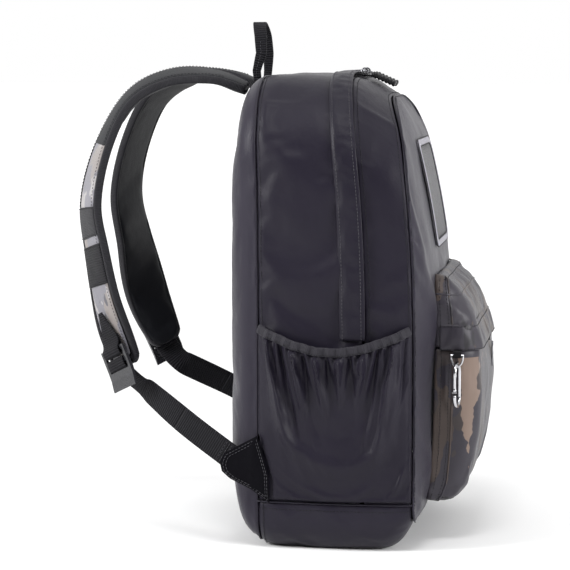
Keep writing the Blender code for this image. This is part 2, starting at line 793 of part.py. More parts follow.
def strap_point(distance, across, lift):
    origin, width, outward = strap_frame(distance)
    return origin + width * across + outward * lift


def axis_distance(point):
    """How far a point is from the line through the strap's two sewn ends."""
    top = Vector(STRAP_ROUTE[0])
    line = (STRAP_ANCHOR - top).normalized()
    return (point - top - line * (point - top).dot(line)).length


def leave_radius(across, radius):
    """Distance along the strap at which it leaves a cylinder about its swing axis."""
    distance = YOKE_START
    while axis_distance(strap_point(distance, across, 0.0)) < radius:
        distance += 0.0002
    return distance


def strap_half_width(distance):
    left = STRAP_PAD_END - distance
    if left > STRAP_END_TAPER:
        return STRAP_HALF_WIDTH
    share = math.sqrt(max(1.0 - (1.0 - left / STRAP_END_TAPER) ** 2, 0.0))
    return STRAP_END_HALF_WIDTH + (STRAP_HALF_WIDTH - STRAP_END_HALF_WIDTH) * share


STRAP_COLUMNS = (-1.0, -0.6, 0.0, 0.6, 1.0)


def strap_rows(start, end, count, lift):
    """Rows across the strap; a start of None follows the arc about the swing axis."""
    rows = []
    for i in range(count + 1):
        row = []
        for share in STRAP_COLUMNS:
            begin = start
            if start is None:
                begin = leave_radius(share * STRAP_HALF_WIDTH, YOKE_RADIUS)
            distance = begin + (end - begin) * i / count
            row.append(strap_point(distance, share * strap_half_width(distance), lift))
        rows.append(row)
    return rows


def yoke_rows(lift):
    rows = []
    for i in range(3):
        row = []
        for share in STRAP_COLUMNS:
            across = share * YOKE_HALF_WIDTH
            end = leave_radius(across, YOKE_RADIUS - YOKE_CLEARANCE)
            row.append(strap_point(YOKE_START + (end - YOKE_START) * i / 2, across, lift))
        rows.append(row)
    return rows


def strap_sheet(name, rows, thickness, mat, outward):
    """A layer of the left strap, built outwards or inwards from its middle surface."""
    middle = rows[len(rows) // 2][len(rows[0]) // 2]
    obj = sheet(f"{name}_left", rows, thickness, mat, middle)
    first, second = rows[0], rows[1]
    normal = (first[-1] - first[0]).cross(second[0] - first[0])
    face = obj.data.polygons[0].normal
    if face.dot(normal) < 0:
        obj.data.flip_normals()
    solid = obj.modifiers["thickness"]
    solid.offset = 1.0 if outward else -1.0
    mirrored(f"{name}_right", obj)
    return obj


def lock_place():
    """Frame of the ladder lock: its X runs down the strap, its Y stands off the face, its Z across."""
    origin, width, outward = strap_frame(LOCK_AT)
    down = outward.cross(width).normalized()
    if down.dot(STRAP.tangent(LOCK_AT)) < 0:
        down = -down
    side = down.cross(outward).normalized()
    turn = Matrix((down, outward, side)).transposed().to_4x4()
    return Matrix.Translation(origin) @ turn


def lock_ribbon(name, path, half_widths, thickness):
    """Webbing that follows a path in the ladder lock's own (s, n) plane."""
    place = lock_place()
    rows = []
    for (s, n), half in zip(path, half_widths):
        rows.append([place @ Vector((s, n, side * half)) for side in (-1, 1)])
    mesh = grid_mesh(name + "_left", rows)
    obj = add_object(name + "_left", mesh, WEB)
    solid = obj.modifiers.new("thickness", "SOLIDIFY")
    solid.thickness = thickness
    solid.offset = 0.0
    solid.use_even_offset = True
    mirrored(name + "_right", obj)


def webbing_rows():
    """The run from behind the ladder lock down to its anchor, turning onto its edge on the way."""
    place = lock_place()
    start = place @ Vector((WRAP_PATH[0][0] + GAP, WRAP_PATH[0][1] - 4 * GAP, 0.0))
    route = Route((start, WEBBING_MIDDLE, STRAP_ANCHOR))
    length = route.marks[-1]
    first_width = place.to_3x3() @ Vector((0, 0, 1))
    last_width = Vector((0.0, 0.53, -0.85))
    if first_width.dot(last_width) < 0:
        last_width = -last_width
    rows = []
    for i in range(11):
        row = []
        for share in (-1.0, -0.5, 0.0, 0.5, 1.0):
            across = share * WEBBING_HALF_WIDTH
            reach = length - math.sqrt(ANCHOR_RADIUS ** 2 - across ** 2)
            distance = reach * i / 10
            turn = min(distance / (0.55 * length), 1.0)
            width = first_width.lerp(last_width, turn * turn * (3 - 2 * turn))
            tangent = route.tangent(min(max(distance, 0.004), length - 0.004))
            width = (width - tangent * width.dot(tangent) * min(i / 3, 1.0)).normalized()
            row.append(route.at(distance) + width * across)
        rows.append(row)
    return rows


def make_straps():
    strap_sheet("strap_yoke", yoke_rows(0.0), PAD_THICKNESS, BODY_CLOTH, outward=False)
    strap_sheet("strap_pad", strap_rows(None, STRAP_PAD_END, 20, 0.0), PAD_THICKNESS, MESH_CLOTH, False)
    strap_sheet("strap_face", strap_rows(None, STRAP_PAD_END, 20, GAP), FACE_THICKNESS, CAMO, True)
    lift = FACE_THICKNESS + 2 * GAP
    strap_sheet("strap_band_upper", strap_rows(*BAND_UPPER, 2, lift), WEBBING, TRIM, True)
    strap_sheet("strap_band_lower", strap_rows(*BAND_LOWER, 6, lift + BAND_RISE), WEBBING, WEB, True)
    strap_sheet("strap_webbing", webbing_rows(), WEBBING, WEB, True)
    lock_ribbon("buckle_tab", TAB_PATH, TAB_WIDTHS, 0.0010)
    lock_ribbon("webbing_wrap", WRAP_PATH, [WEBBING_HALF_WIDTH] * len(WRAP_PATH), 0.0010)


def make_ladder_locks():
    place = lock_place()
    lock = prism("ladder_lock_left", LOCK_PROFILE, LOCK_HALF_WIDTH, place, PLASTIC)
    turn = place.to_3x3().to_4x4()
    for start, end in LOCK_SLOTS:
        centre = place @ Vector(((start + end) / 2, 0.0090, 0.0))
        size = (end - start, 0.0120, 2 * LOCK_SLOT_HALF_WIDTH)
        cut(lock, box(f"slot_{start:.3f}", size, centre, PLASTIC, turn))
    mirrored("ladder_lock_right", lock)


def make_anchors():
    """Triangles sewn into the rear side seams, ending round the strap's swing axis."""
    corners = [(0.0672, 0.1120), (0.0560, 0.0740), (0.0545, 0.0480)]
    centre_y, centre_z = STRAP_ANCHOR.y, STRAP_ANCHOR.z
    away = math.atan2(0.030, 0.050)
    arc = []
    for angle in steps(away - math.radians(80), away + math.radians(80), 8):
        radius = ANCHOR_RADIUS - SEAM_GAP
        arc.append((centre_y + radius * math.cos(angle), centre_z + radius * math.sin(angle)))
    points = corners + arc
    x = -section(BACK_SEAM)[0] - 0.0052
    place = Matrix(((0, 0, 1, x), (1, 0, 0, 0), (0, 1, 0, 0), (0, 0, 0, 1)))
    left = prism("strap_anchor_left", points, 0.0011, place, WEB)
    mirrored("strap_anchor_right", left)


# ---------------------------------------------------------------- carabiner


def carabiner_point(out, down, side=0.0):
    """From the ring's low point: out towards the gate, down, and sideways off the hook's plane."""
    along = Vector((-math.cos(CARABINER_TURN), math.sin(CARABINER_TURN), 0.0))
    normal = along.cross(Vector((0, 0, 1)))
    start = Vector((RING_X, RING_Y, RING_LOW_Z))
    return start + along * out + Vector((0, 0, -down)) + normal * side


def make_ring():
    tab = ((-0.1008, 0.1926), (-0.1060, 0.1926), (-0.1138, 0.1926), (-0.1150, 0.1903),
           (-0.1138, 0.1882), (-0.1060, 0.1882), (-0.1008, 0.1878))
    rows = [[Vector((x, RING_Y + side * 0.0038, z)) for side in (-1, 1)] for x, z in tab]
    sheet("ring_tab", rows, 0.0007, WEB, (RING_X, RING_Y, RING_BAR_Z), outward=True)
    loop = []
    for angle in steps(math.pi, 2 * math.pi, 8):
        y = RING_Y + RING_HALF * math.cos(angle)
        loop.append((RING_X, y, RING_BAR_Z + (RING_BAR_Z - RING_LOW_Z) * math.sin(angle)))
    tube("d_ring", loop, RING_WIRE, METAL, cyclic=True)


def make_carabiner():
    arc_centre = -CARABINER_TOP + CARABINER_HALF
    low_centre = arc_centre + CARABINER_LENGTH - 2 * CARABINER_HALF
    path = [carabiner_point(CARABINER_HALF, arc_centre + 0.0016)]
    for angle in steps(0.0, math.pi, 10):
        path.append(carabiner_point(CARABINER_HALF * math.cos(angle),
                                    arc_centre - CARABINER_HALF * math.sin(angle)))
    for angle in steps(math.pi, 2 * math.pi, 10):
        path.append(carabiner_point(CARABINER_HALF * math.cos(angle),
                                    low_centre - CARABINER_HALF * math.sin(angle)))
    path.append(carabiner_point(CARABINER_HALF, GATE_PIN_DROP + 0.0026))
    body = tube("carabiner_body", path, CARABINER_WIRE, METAL)
    turn = Matrix.Rotation(-CARABINER_TURN, 4, "Z")
    tongue_mid = carabiner_point(CARABINER_HALF, GATE_PIN_DROP + 0.0016)
    tongue = box("tongue", (0.0030, 0.0012, 0.0068), tongue_mid, METAL, turn)
    cut(body, tongue, "UNION")
    pin_start = carabiner_point(CARABINER_HALF, GATE_PIN_DROP, -0.0024)
    pin_end = carabiner_point(CARABINER_HALF, GATE_PIN_DROP, 0.0024)
    bore_start = carabiner_point(CARABINER_HALF, GATE_PIN_DROP, -0.0040)
    bore_end = carabiner_point(CARABINER_HALF, GATE_PIN_DROP, 0.0040)
    bore_radius = GATE_PIN_RADIUS + GAP
    cut(body, rod("tongue_bore", bore_radius, bore_start, bore_end, METAL, 8))
    gate_low = carabiner_point(CARABINER_HALF, GATE_PIN_DROP + 0.0017)
    gate_high = carabiner_point(CARABINER_HALF, arc_centre + 0.0021)
    gate = rod("carabiner_gate", GATE_RADIUS, gate_low, gate_high, METAL)
    slot_mid = carabiner_point(CARABINER_HALF, GATE_PIN_DROP - 0.0002)
    cut(gate, box("fork_slot", (0.0060, 0.0019, 0.0052), slot_mid, METAL, turn))
    cut(gate, rod("fork_bore", bore_radius, bore_start, bore_end, METAL, 8))
    rod("gate_pin", GATE_PIN_RADIUS, pin_start, pin_end, METAL, 8)


clear_scene()
PARTS = collection(OBJECT_NAME)
CUTTERS = collection("cutters")

BODY_CLOTH = material("body_cloth", (0.045, 0.042, 0.055), 0.75)
MESH_CLOTH = material("padded_mesh", (0.022, 0.024, 0.028), 0.90)
LINING = material("lining_cloth", (0.050, 0.050, 0.055), 0.80)
FOAM = material("foam", (0.250, 0.250, 0.240), 0.95)
BOARD = material("base_board_plastic", (0.030, 0.030, 0.032), 0.60)
TAPE_CLOTH = material("zip_tape", (0.012, 0.012, 0.014), 0.80)
CAMO = material("camo_cloth", (0.150, 0.130, 0.120), 0.60)
TRIM = material("binding", (0.020, 0.020, 0.024), 0.70)
LOOP_PILE = material("loop_pile", (0.030, 0.030, 0.035), 0.95)
WEB = material("webbing", (0.015, 0.016, 0.018), 0.70)
PLASTIC = material("acetal", (0.020, 0.020, 0.024), 0.35)
RUBBER = material("pull_rubber", (0.008, 0.008, 0.009), 0.55)
METAL = material("plated_steel", (0.700, 0.700, 0.710), 0.20, 1.0)

STRAP = Route(STRAP_ROUTE)

make_back()
make_gussets()
make_zip_tapes()
make_base()
make_front_panels()
make_storm_flap()
make_patch()
make_front_pocket()
make_pocket_slider()
make_side_pockets()
make_main_sliders()
make_haul_loop()
make_straps()
make_ladder_locks()
make_anchors()
make_ring()
make_carabiner()
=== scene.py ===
import math

import bpy
import numpy as np
from mathutils import Matrix, Vector, noise


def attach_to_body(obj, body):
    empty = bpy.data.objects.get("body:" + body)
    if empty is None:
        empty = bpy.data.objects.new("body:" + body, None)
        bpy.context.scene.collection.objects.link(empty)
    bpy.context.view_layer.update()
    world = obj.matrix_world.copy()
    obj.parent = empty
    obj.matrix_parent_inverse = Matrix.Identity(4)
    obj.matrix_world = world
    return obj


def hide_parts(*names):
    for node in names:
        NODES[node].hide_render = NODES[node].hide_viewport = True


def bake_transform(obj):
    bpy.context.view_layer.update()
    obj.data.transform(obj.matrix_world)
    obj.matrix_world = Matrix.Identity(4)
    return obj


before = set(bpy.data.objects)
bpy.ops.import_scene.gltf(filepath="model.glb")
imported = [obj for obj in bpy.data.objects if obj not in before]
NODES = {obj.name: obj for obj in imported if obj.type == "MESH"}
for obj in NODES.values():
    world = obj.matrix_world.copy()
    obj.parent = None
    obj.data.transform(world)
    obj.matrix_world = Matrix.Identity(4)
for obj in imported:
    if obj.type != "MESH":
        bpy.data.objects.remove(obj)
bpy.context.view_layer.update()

# ---------------------------------------------------------------- outline shared with the CAD

STATIONS = (  # y, half width, underside, top
    (0.096, 0.112, 0.058, 0.423), (0.094, 0.126, 0.040, 0.434), (0.087, 0.139, 0.022, 0.446),
    (0.078, 0.145, 0.010, 0.455), (0.067, 0.147, 0.003, 0.460), (0.055, 0.150, 0.000, 0.462),
    (0.000, 0.153, 0.000, 0.462), (-0.037, 0.152, 0.000, 0.459), (-0.045, 0.151, 0.000, 0.457),
    (-0.060, 0.151, 0.001, 0.452), (-0.074, 0.149, 0.008, 0.446), (-0.085, 0.147, 0.028, 0.440),
)
# y and corner radius at the top; z and how far the front panel bulges
TOP_RADII = ((0.096, 0.078), (0.000, 0.086), (-0.037, 0.098), (-0.085, 0.118))
CROWN = (
    (0.028, 0.000), (0.055, 0.009), (0.100, 0.015), (0.200, 0.017), (0.265, 0.016), (0.296, 0.014),
    (0.365, 0.008), (0.400, 0.005), (0.440, 0.000),
)
BACK_FACE, BACK_SEAM, ZIP_LINE, FRONT_SEAM = 0.096, 0.067, -0.037, -0.085
BOTTOM_RADIUS, BOOT_TOP, ZIP_END = 0.030, 0.0475, 0.215
SHELL, GAP, SEAM_GAP = 0.0020, 0.0003, 0.0006
LID_BLEND = ((0, 0, 0.218), (0, 0, 0.318))
STRAP_BLEND = ((0, 0.098, 0), (0, 0.136, 0))


def smoothed(table, column, spread=0.004):
    """A table's column read densely and rounded off, as two arrays."""
    rows = sorted(table)
    at = np.array([r[0] for r in rows])
    dense = np.linspace(at[0], at[-1], 500)
    values = np.interp(dense, at, [r[column] for r in rows])
    step = dense[1] - dense[0]
    reach = int(3 * spread / step) + 1
    kernel = np.exp(-0.5 * (np.arange(-reach, reach + 1) * step / spread) ** 2)
    kernel /= kernel.sum()
    before = 2 * values[0] - values[reach:0:-1]
    after = 2 * values[-1] - values[-2:-reach - 2:-1]
    return dense, np.convolve(np.concatenate([before, values, after]), kernel, "valid")


HALF_WIDTH, LOW, HIGH = (smoothed(STATIONS, column) for column in (1, 2, 3))
CROWNS = smoothed(CROWN, 1, 0.010)


def lean(y0, z):
    """How far a point is pushed back by the bag leaning towards its front at the top."""
    share = np.clip((z - 0.150) / 0.312, 0.0, 1.0)
    slope = 0.009 * np.clip((z - 0.385) / 0.055, 0.0, 1.0) ** 2 * np.clip((-0.045 - y0) / 0.040, 0.0, 1.0)
    return 0.022 * share ** 3 * (BACK_FACE - y0) / (BACK_FACE - ZIP_LINE) + slope


def section(y0, inset=0.0):
    """Half width, underside, top, and bottom and top corner radii of the outline at a station."""
    half = np.interp(y0, *HALF_WIDTH) - inset
    low = np.interp(y0, *LOW) + inset
    high = np.interp(y0, *HIGH) - inset
    bottom = BOTTOM_RADIUS - inset
    if y0 < 0:
        bottom = min(BOTTOM_RADIUS, BOOT_TOP - 0.004 - low + inset) - inset
    top = np.interp(y0, *zip(*sorted(TOP_RADII))) - inset
    return half, low, high, bottom, top


def resample(points, count, closed=False):
    """The same line with evenly spaced points."""
    points = np.array(points, float)
    if closed:
        points = np.vstack([points, points[:1]])
    marks = np.concatenate([[0], np.cumsum(np.linalg.norm(np.diff(points, axis=0), axis=1))])
    at = np.linspace(0, marks[-1], count + 1 if closed else count)
    spread = np.stack([np.interp(at, marks, points[:, k]) for k in range(points.shape[1])], 1)
    return spread[:-1] if closed else spread


def placed(y0, flat):
    """Body points from (x, z) pairs at a station."""
    flat = np.array(flat)
    return np.stack([flat[:, 0], y0 + lean(y0, flat[:, 1]), flat[:, 1]], 1)


def arch(y0, z_low, inset=0.0, count=180):
    """The outline over the top at a station, from one side down to z_low to the other."""
    half, _, high, _, top = section(y0, inset)
    left = [(-half, z) for z in np.linspace(z_low, high - top, 12)[:-1]]
    for a in np.linspace(0, math.pi / 2, 16):
        left.append((-half + top - top * math.cos(a), high - top + top * math.sin(a)))
    right = [(-x, z) for x, z in reversed(left)]
    return placed(y0, resample(left + right, count))


def tray(y0, z_high):
    """The boot's outline at a station: down one side, under the base and up the other."""
    half, low, _, bottom, _ = section(y0)
    left = [(-half, z_high)]
    for a in np.linspace(0, math.pi / 2, 12):
        left.append((-half + bottom - bottom * math.cos(a), low + bottom - bottom * math.sin(a)))
    right = [(-x, z) for x, z in reversed(left)]
    return placed(y0, resample(left + right, 120))


def outline(y0, count=180, inset=0.0):
    """The whole outline at a station, as a loop that starts under the base."""
    half, low, high, bottom, top = section(y0, inset)
    loop = [(half - bottom + bottom * math.sin(a), low + bottom - bottom * math.cos(a))
            for a in np.linspace(0, math.pi / 2, 10)]
    loop += [(half - top + top * math.cos(a), high - top + top * math.sin(a))
             for a in np.linspace(0, math.pi / 2, 14)]
    loop += [(-x, z) for x, z in reversed(loop)]
    start = np.array([[0.0, low]])
    return placed(y0, resample(np.vstack([start, loop]), count, True))


def seam_half_width(z):
    """Half width of the front panel at a height."""
    half, low, high, bottom, top = section(FRONT_SEAM)
    if z > high - top:
        return half - top + math.sqrt(max(top ** 2 - (z - high + top) ** 2, 0.0))
    if z < low + bottom:
        return half - bottom + math.sqrt(max(bottom ** 2 - (low + bottom - z) ** 2, 0.0))
    return half


def panel_y(x, z):
    """Outer face of the front panel."""
    across = min(abs(x) / max(seam_half_width(z), 1e-4), 1.0)
    crown = np.interp(z, *CROWNS) * (1.0 - across ** 4)
    return FRONT_SEAM - GAP + lean(FRONT_SEAM, z) - crown - SHELL


# ---------------------------------------------------------------- grids


def grid_normals(grid, centre, closed=False):
    """Unit normals of a grid of points, away from a centre, and whether the grid's own sense agrees."""
    if closed:
        across = np.roll(grid, -1, 1) - np.roll(grid, 1, 1)
    else:
        across = np.gradient(grid, axis=1)
    along = np.gradient(grid, axis=0)
    normals = np.cross(across, along)
    normals /= np.maximum(np.linalg.norm(normals, axis=2, keepdims=True), 1e-12)
    agrees = np.sum(normals * (grid - np.array(centre, float))) > 0
    return (normals if agrees else -normals), agrees


def span(grid):
    """Distance along rows and along columns at each point, in metres."""
    across = np.concatenate([np.zeros((len(grid), 1)),
                             np.cumsum(np.linalg.norm(np.diff(grid, axis=1), axis=2), 1)], 1)
    along = np.concatenate([np.zeros((1, grid.shape[1])),
                            np.cumsum(np.linalg.norm(np.diff(grid, axis=0), axis=2), 0)], 0)
    return across, along


def edge_distance(grid):
    """Distance of each point from the nearest edge of the sheet."""
    across, along = span(grid)
    return np.minimum(np.minimum(across, across[:, -1:] - across), np.minimum(along, along[-1:] - along))


def ripple(grid, size, seed, octaves=2, stretch=(1, 1, 1)):
    """Smooth noise from -1 to 1 at each point; size is the length of one fold."""
    flat = grid.reshape(-1, 3) / size * np.array(stretch)
    shift = Vector((seed * 7.31, seed * 3.17, seed * 1.93))
    values = [noise.fractal(Vector(p) + shift, 1.0, 2.0, octaves) for p in flat]
    return np.array(values).reshape(grid.shape[:2])


def grid_object(name, grid, agrees, closed=False, caps=(False, False)):
    """A mesh from a grid of points, with UVs in metres; agrees says the grid faces outward as it is."""
    rows, cols = grid.shape[:2]
    last = cols if closed else cols - 1
    faces, loops = [], []
    mean = grid if not closed else np.concatenate([grid, grid[:, :1]], 1)
    u = np.concatenate([[0], np.cumsum(np.linalg.norm(np.diff(mean, axis=1), axis=2).mean(0))])
    v = np.concatenate([[0], np.cumsum(np.linalg.norm(np.diff(grid, axis=0), axis=2).mean(1))])
    for i in range(rows - 1):
        for j in range(last):
            k = (j + 1) % cols
            quad = [i * cols + j, i * cols + k, (i + 1) * cols + k, (i + 1) * cols + j]
            corner = [(u[j], v[i]), (u[j + 1], v[i]), (u[j + 1], v[i + 1]), (u[j], v[i + 1])]
            faces.append(quad if agrees else quad[::-1])
            loops += corner if agrees else corner[::-1]
    for which, row in enumerate((0, rows - 1)):
        if caps[which]:
            ring = [row * cols + j for j in range(cols)]
            keep = (which == 1) == agrees
            faces.append(ring if keep else ring[::-1])
            order = range(cols) if keep else range(cols - 1, -1, -1)
            loops += [(u[j], v[row]) for j in order]
    mesh = bpy.data.meshes.new(name)
    mesh.from_pydata(grid.reshape(-1, 3).tolist(), [], faces)
    layer = mesh.uv_layers.new(name="UVMap")
    layer.data.foreach_set("uv", np.array(loops, np.float32).ravel())
    mesh.shade_smooth()
    obj = bpy.data.objects.new(name, mesh)
    bpy.context.scene.collection.objects.link(obj)
    return obj


def dress(obj, mat, nodes=()):
    """Give a piece its material, and hide the CAD nodes it stands for."""
    obj.data.materials.append(mat)
    if nodes:
        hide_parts(*nodes)
    return obj


def thicken(obj, thickness, detail=0):
    """Thickness on the inner side of a sheet, then smoothing."""
    if thickness:
        solid = obj.modifiers.new("thickness", "SOLIDIFY")
        solid.thickness, solid.offset = thickness, -1.0
    if detail:
        smooth = obj.modifiers.new("smooth", "SUBSURF")
        smooth.levels = smooth.render_levels = detail


CLOTHS = []  # every sheet that settle() drapes, in the order they are made
PANELS = {}  # the same sheets by name


class Panel:
    """A sheet of cloth that is settled by simulation, then thickened and smoothed."""

    def __init__(self, name, grid, centre, mat, slot, nodes, blend=None, thickness=SHELL, closed=False,
                 seam=0.0012, fold=0.0, fold_size=0.08, seed=1, stretch=(1, 1, 1), detail=1, slack=0.012,
                 pressure=0.3, gravity=0.15, cap=0.0030, pins=None, sink=0.0012):
        normals, self.agrees = grid_normals(grid, centre, closed)
        edge = edge_distance(grid)
        inner = np.clip(edge / 0.018, 0, 1) ** 2
        lift = fold * ripple(grid, fold_size, seed, 3, stretch) * inner
        lift -= seam * np.exp(-(edge / 0.0024) ** 2)
        self.flat = grid
        self.grid = grid + normals * lift[..., None]
        self.name, self.centre, self.closed = name, centre, closed
        self.blend, self.thickness, self.detail = blend, thickness, detail
        self.obj = dress(grid_object(name, self.grid, self.agrees, closed), mat, nodes)
        rows, cols = grid.shape[:2]
        if pins is None:
            pins = np.zeros((rows, cols), bool)
            pins[[0, -1]] = True
            if not closed:
                pins[:, [0, -1]] = True
        self.settings = (pins, slack, pressure, gravity, cap)
        self.sink = sink
        PANELS[name] = self
        CLOTHS.append(self)

    def start(self):
        pins, slack, pressure, gravity, _ = self.settings
        group = self.obj.vertex_groups.new(name="sewn")
        group.add([int(i) for i in np.flatnonzero(pins.ravel())], 1.0, "REPLACE")
        cloth = self.obj.modifiers.new("cloth", "CLOTH")
        physics = cloth.settings
        physics.quality = 4
        physics.mass = 0.25
        physics.vertex_group_mass = "sewn"
        physics.tension_stiffness = 20
        physics.compression_stiffness = 20
        physics.shear_stiffness = 8
        physics.bending_stiffness = 0.35
        physics.air_damping = 2.0
        physics.shrink_min = -slack
        physics.shrink_max = -slack
        physics.use_pressure = pressure > 0
        physics.uniform_pressure_force = pressure
        physics.effector_weights.gravity = gravity
        cloth.collision_settings.use_collision = False

    def stop(self, depsgraph):
        count = len(self.obj.data.vertices)
        moved = np.zeros(count * 3)
        self.obj.evaluated_get(depsgraph).data.vertices.foreach_get("co", moved)
        shift = moved.reshape(self.grid.shape) - self.grid
        cap = self.settings[4]
        size = np.linalg.norm(shift, axis=2, keepdims=True)
        shift *= np.tanh(size / cap) * cap / np.maximum(size, 1e-9)
        normals, _ = grid_normals(self.grid, self.centre, self.closed)
        inward = np.sum(shift * normals, 2, keepdims=True)
        shift -= normals * np.minimum(inward + self.sink, 0.0)
        self.grid = self.grid + shift
        self.obj.modifiers.clear()

    def finish(self):
        grid = self.grid
        grid[..., 2] = np.maximum(grid[..., 2], 0.0006)
        self.obj.data.vertices.foreach_set("co", grid.astype(np.float32).ravel())
        self.obj.data.update()
        thicken(self.obj, self.thickness, self.detail)
        attach(self.obj, "bag_body", self.blend)
        self.normals, _ = grid_normals(grid, self.centre, self.closed)

    def line(self, row=None, col=None, first=0.0, last=1.0):
        """Points and normals along the sheet at a share of its rows or columns."""
        rows, cols = self.grid.shape[:2]
        both = np.concatenate([self.grid, self.normals], 2)
        if row is not None:
            at = row * (rows - 1)
            low = min(int(at), rows - 2)
            picked = both[low] * (1 - at + low) + both[low + 1] * (at - low)
        else:
            at = col * (cols - 1)
            low = min(int(at), cols - 2)
            picked = both[:, low] * (1 - at + low) + both[:, low + 1] * (at - low)
        count = len(picked)
        return picked[int(first * (count - 1)):int(last * (count - 1)) + 1]


def attach(obj, body, blend=None):
    """Ride on a body, or, given a blend, stay in place with the transform baked into the mesh."""
    if blend is None:
        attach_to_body(obj, body)
    else:
        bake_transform(obj)
    return obj


def settle():
    """Run every cloth together, then keep the result."""
    scene = bpy.context.scene
    for cloth in CLOTHS:
        cloth.start()
    for number in range(1, 19):
        scene.frame_set(number)
    depsgraph = bpy.context.evaluated_depsgraph_get()
    for cloth in CLOTHS:
        cloth.stop(depsgraph)
    scene.frame_set(1)
    for cloth in CLOTHS:
        cloth.finish()


# ---------------------------------------------------------------- materials


class Paint:
    """A Principled material and short ways to add nodes to it."""

    def __init__(self, name, roughness=0.7, metallic=0.0, sheen=0.0, specular=0.5):
        self.mat = bpy.data.materials.new(name)
        self.mat.use_nodes = True
        self.tree = self.mat.node_tree
        self.shader = self.tree.nodes["Principled BSDF"]
        self.shader.inputs["Roughness"].default_value = roughness
        self.shader.inputs["Metallic"].default_value = metallic
        self.shader.inputs["Specular IOR Level"].default_value = specular
        if sheen:
            self.shader.inputs["Sheen Weight"].default_value = sheen
            self.shader.inputs["Sheen Roughness"].default_value = 0.45
        self.uv = self.add("ShaderNodeTexCoord").outputs["UV"]

    def add(self, kind, **values):
        node = self.tree.nodes.new(kind)
        for key, value in values.items():
            if hasattr(node, key):
                setattr(node, key, value)
            else:
                node.inputs[key.replace("_", " ")].default_value = value
        return node

    def link(self, source, target):
        self.tree.links.new(source, target)

    def scaled(self, x, y, turn=0.0, source=None):
        node = self.add("ShaderNodeMapping")
        node.inputs["Scale"].default_value = (x, y, 1.0)
        node.inputs["Rotation"].default_value = (0.0, 0.0, turn)
        self.link(source or self.uv, node.inputs["Vector"])
        return node.outputs["Vector"]

    def noise(self, scale, detail=2.0, vector=None, roughness=0.5):
        node = self.add("ShaderNodeTexNoise", Scale=scale, Detail=detail, Roughness=roughness)
        self.link(vector or self.uv, node.inputs["Vector"])
        return node.outputs["Fac"]

    def bands(self, pitch, direction):
        """Waves with this distance in metres between their crests."""
        node = self.add("ShaderNodeTexWave", wave_type="BANDS", bands_direction=direction, wave_profile="SIN",
                        Scale=0.314 / pitch)
        self.link(self.uv, node.inputs["Vector"])
        return node.outputs["Fac"]

    def math(self, operation, first, second):
        node = self.add("ShaderNodeMath", operation=operation)
        for index, value in enumerate((first, second)):
            if isinstance(value, (int, float)):
                node.inputs[index].default_value = value
            else:
                self.link(value, node.inputs[index])
        return node.outputs[0]

    def ramp(self, fac, stops, sharp=False):
        node = self.add("ShaderNodeValToRGB")
        node.color_ramp.interpolation = "CONSTANT" if sharp else "LINEAR"
        while len(node.color_ramp.elements) < len(stops):
            node.color_ramp.elements.new(0.5)
        for element, (at, colour) in zip(node.color_ramp.elements, stops):
            element.position = at
            element.color = (*colour, 1.0)
        self.link(fac, node.inputs["Fac"])
        return node.outputs["Color"]

    def mix(self, fac, first, second):
        node = self.add("ShaderNodeMix", data_type="RGBA")
        for socket, value in ((node.inputs["Factor"], fac), (node.inputs[6], first), (node.inputs[7], second)):
            if isinstance(value, (int, float)):
                socket.default_value = value
            elif isinstance(value, tuple):
                socket.default_value = (*value, 1.0)
            else:
                self.link(value, socket)
        return node.outputs[2]

    def colour(self, source):
        self.link(source, self.shader.inputs["Base Color"])

    def rough(self, fac, low, high):
        node = self.add("ShaderNodeMapRange", To_Min=low, To_Max=high)
        self.link(fac, node.inputs["Value"])
        self.link(node.outputs["Result"], self.shader.inputs["Roughness"])

    def bump(self, layers):
        """Layers of (height, strength, distance), each on top of the one before."""
        below = None
        for height, strength, distance in layers:
            node = self.add("ShaderNodeBump")
            node.inputs["Strength"].default_value = strength
            node.inputs["Distance"].default_value = distance
            self.link(height, node.inputs["Height"])
            if below is not None:
                self.link(below, node.inputs["Normal"])
            below = node.outputs["Normal"]
        self.link(below, self.shader.inputs["Normal"])


def shade(colour, factor):
    return tuple(c * factor for c in colour)


def woven(name, colour, pitch=0.0009, sheen=0.3, roughness=0.40, specular=0.17):
    """Plain-woven polyester: warp and weft bump, uneven dye, faint creases."""
    paint = Paint(name, roughness, sheen=sheen, specular=specular)
    weave = paint.math("MULTIPLY", paint.bands(pitch, "X"), paint.bands(pitch, "Y"))
    cloudy = paint.noise(14, 4)
    thread = paint.noise(1.0, 2, paint.scaled(1800, 160))
    base = paint.mix(cloudy, shade(colour, 0.84), shade(colour, 1.18))
    base = paint.mix(paint.math("MULTIPLY", thread, 0.12), base, shade(colour, 1.7))
    paint.colour(base)
    paint.rough(cloudy, roughness - 0.07, roughness + 0.08)
    paint.bump([(paint.noise(38, 3), 0.22, 0.0046), (paint.noise(120, 2), 0.12, 0.0006), (weave, 0.35, 0.0002)])
    return paint.mat


def ribbed(name, colour, pitch=0.0021, sheen=0.2, roughness=0.6, depth=0.0006, light=1.9,
           specular=0.25):
    """Webbing or grosgrain: ribs across the tape and a close edge."""
    paint = Paint(name, roughness, sheen=sheen, specular=specular)
    ribs = paint.bands(pitch, "Y")
    warp = paint.bands(0.0011, "X")
    worn = paint.noise(60, 3)
    # The ribs also set the colour: painted shade in the grooves and painted highlight on the crests, with light
    # setting how bright the crests are.
    base = paint.mix(ribs, shade(colour, 0.45), shade(colour, light))
    paint.colour(paint.mix(worn, base, paint.mix(0.5, base, shade(colour, 1.3))))
    paint.rough(worn, roughness - 0.1, roughness + 0.1)
    paint.bump([(ribs, 0.9, depth), (warp, 0.3, 0.00018)])
    return paint.mat


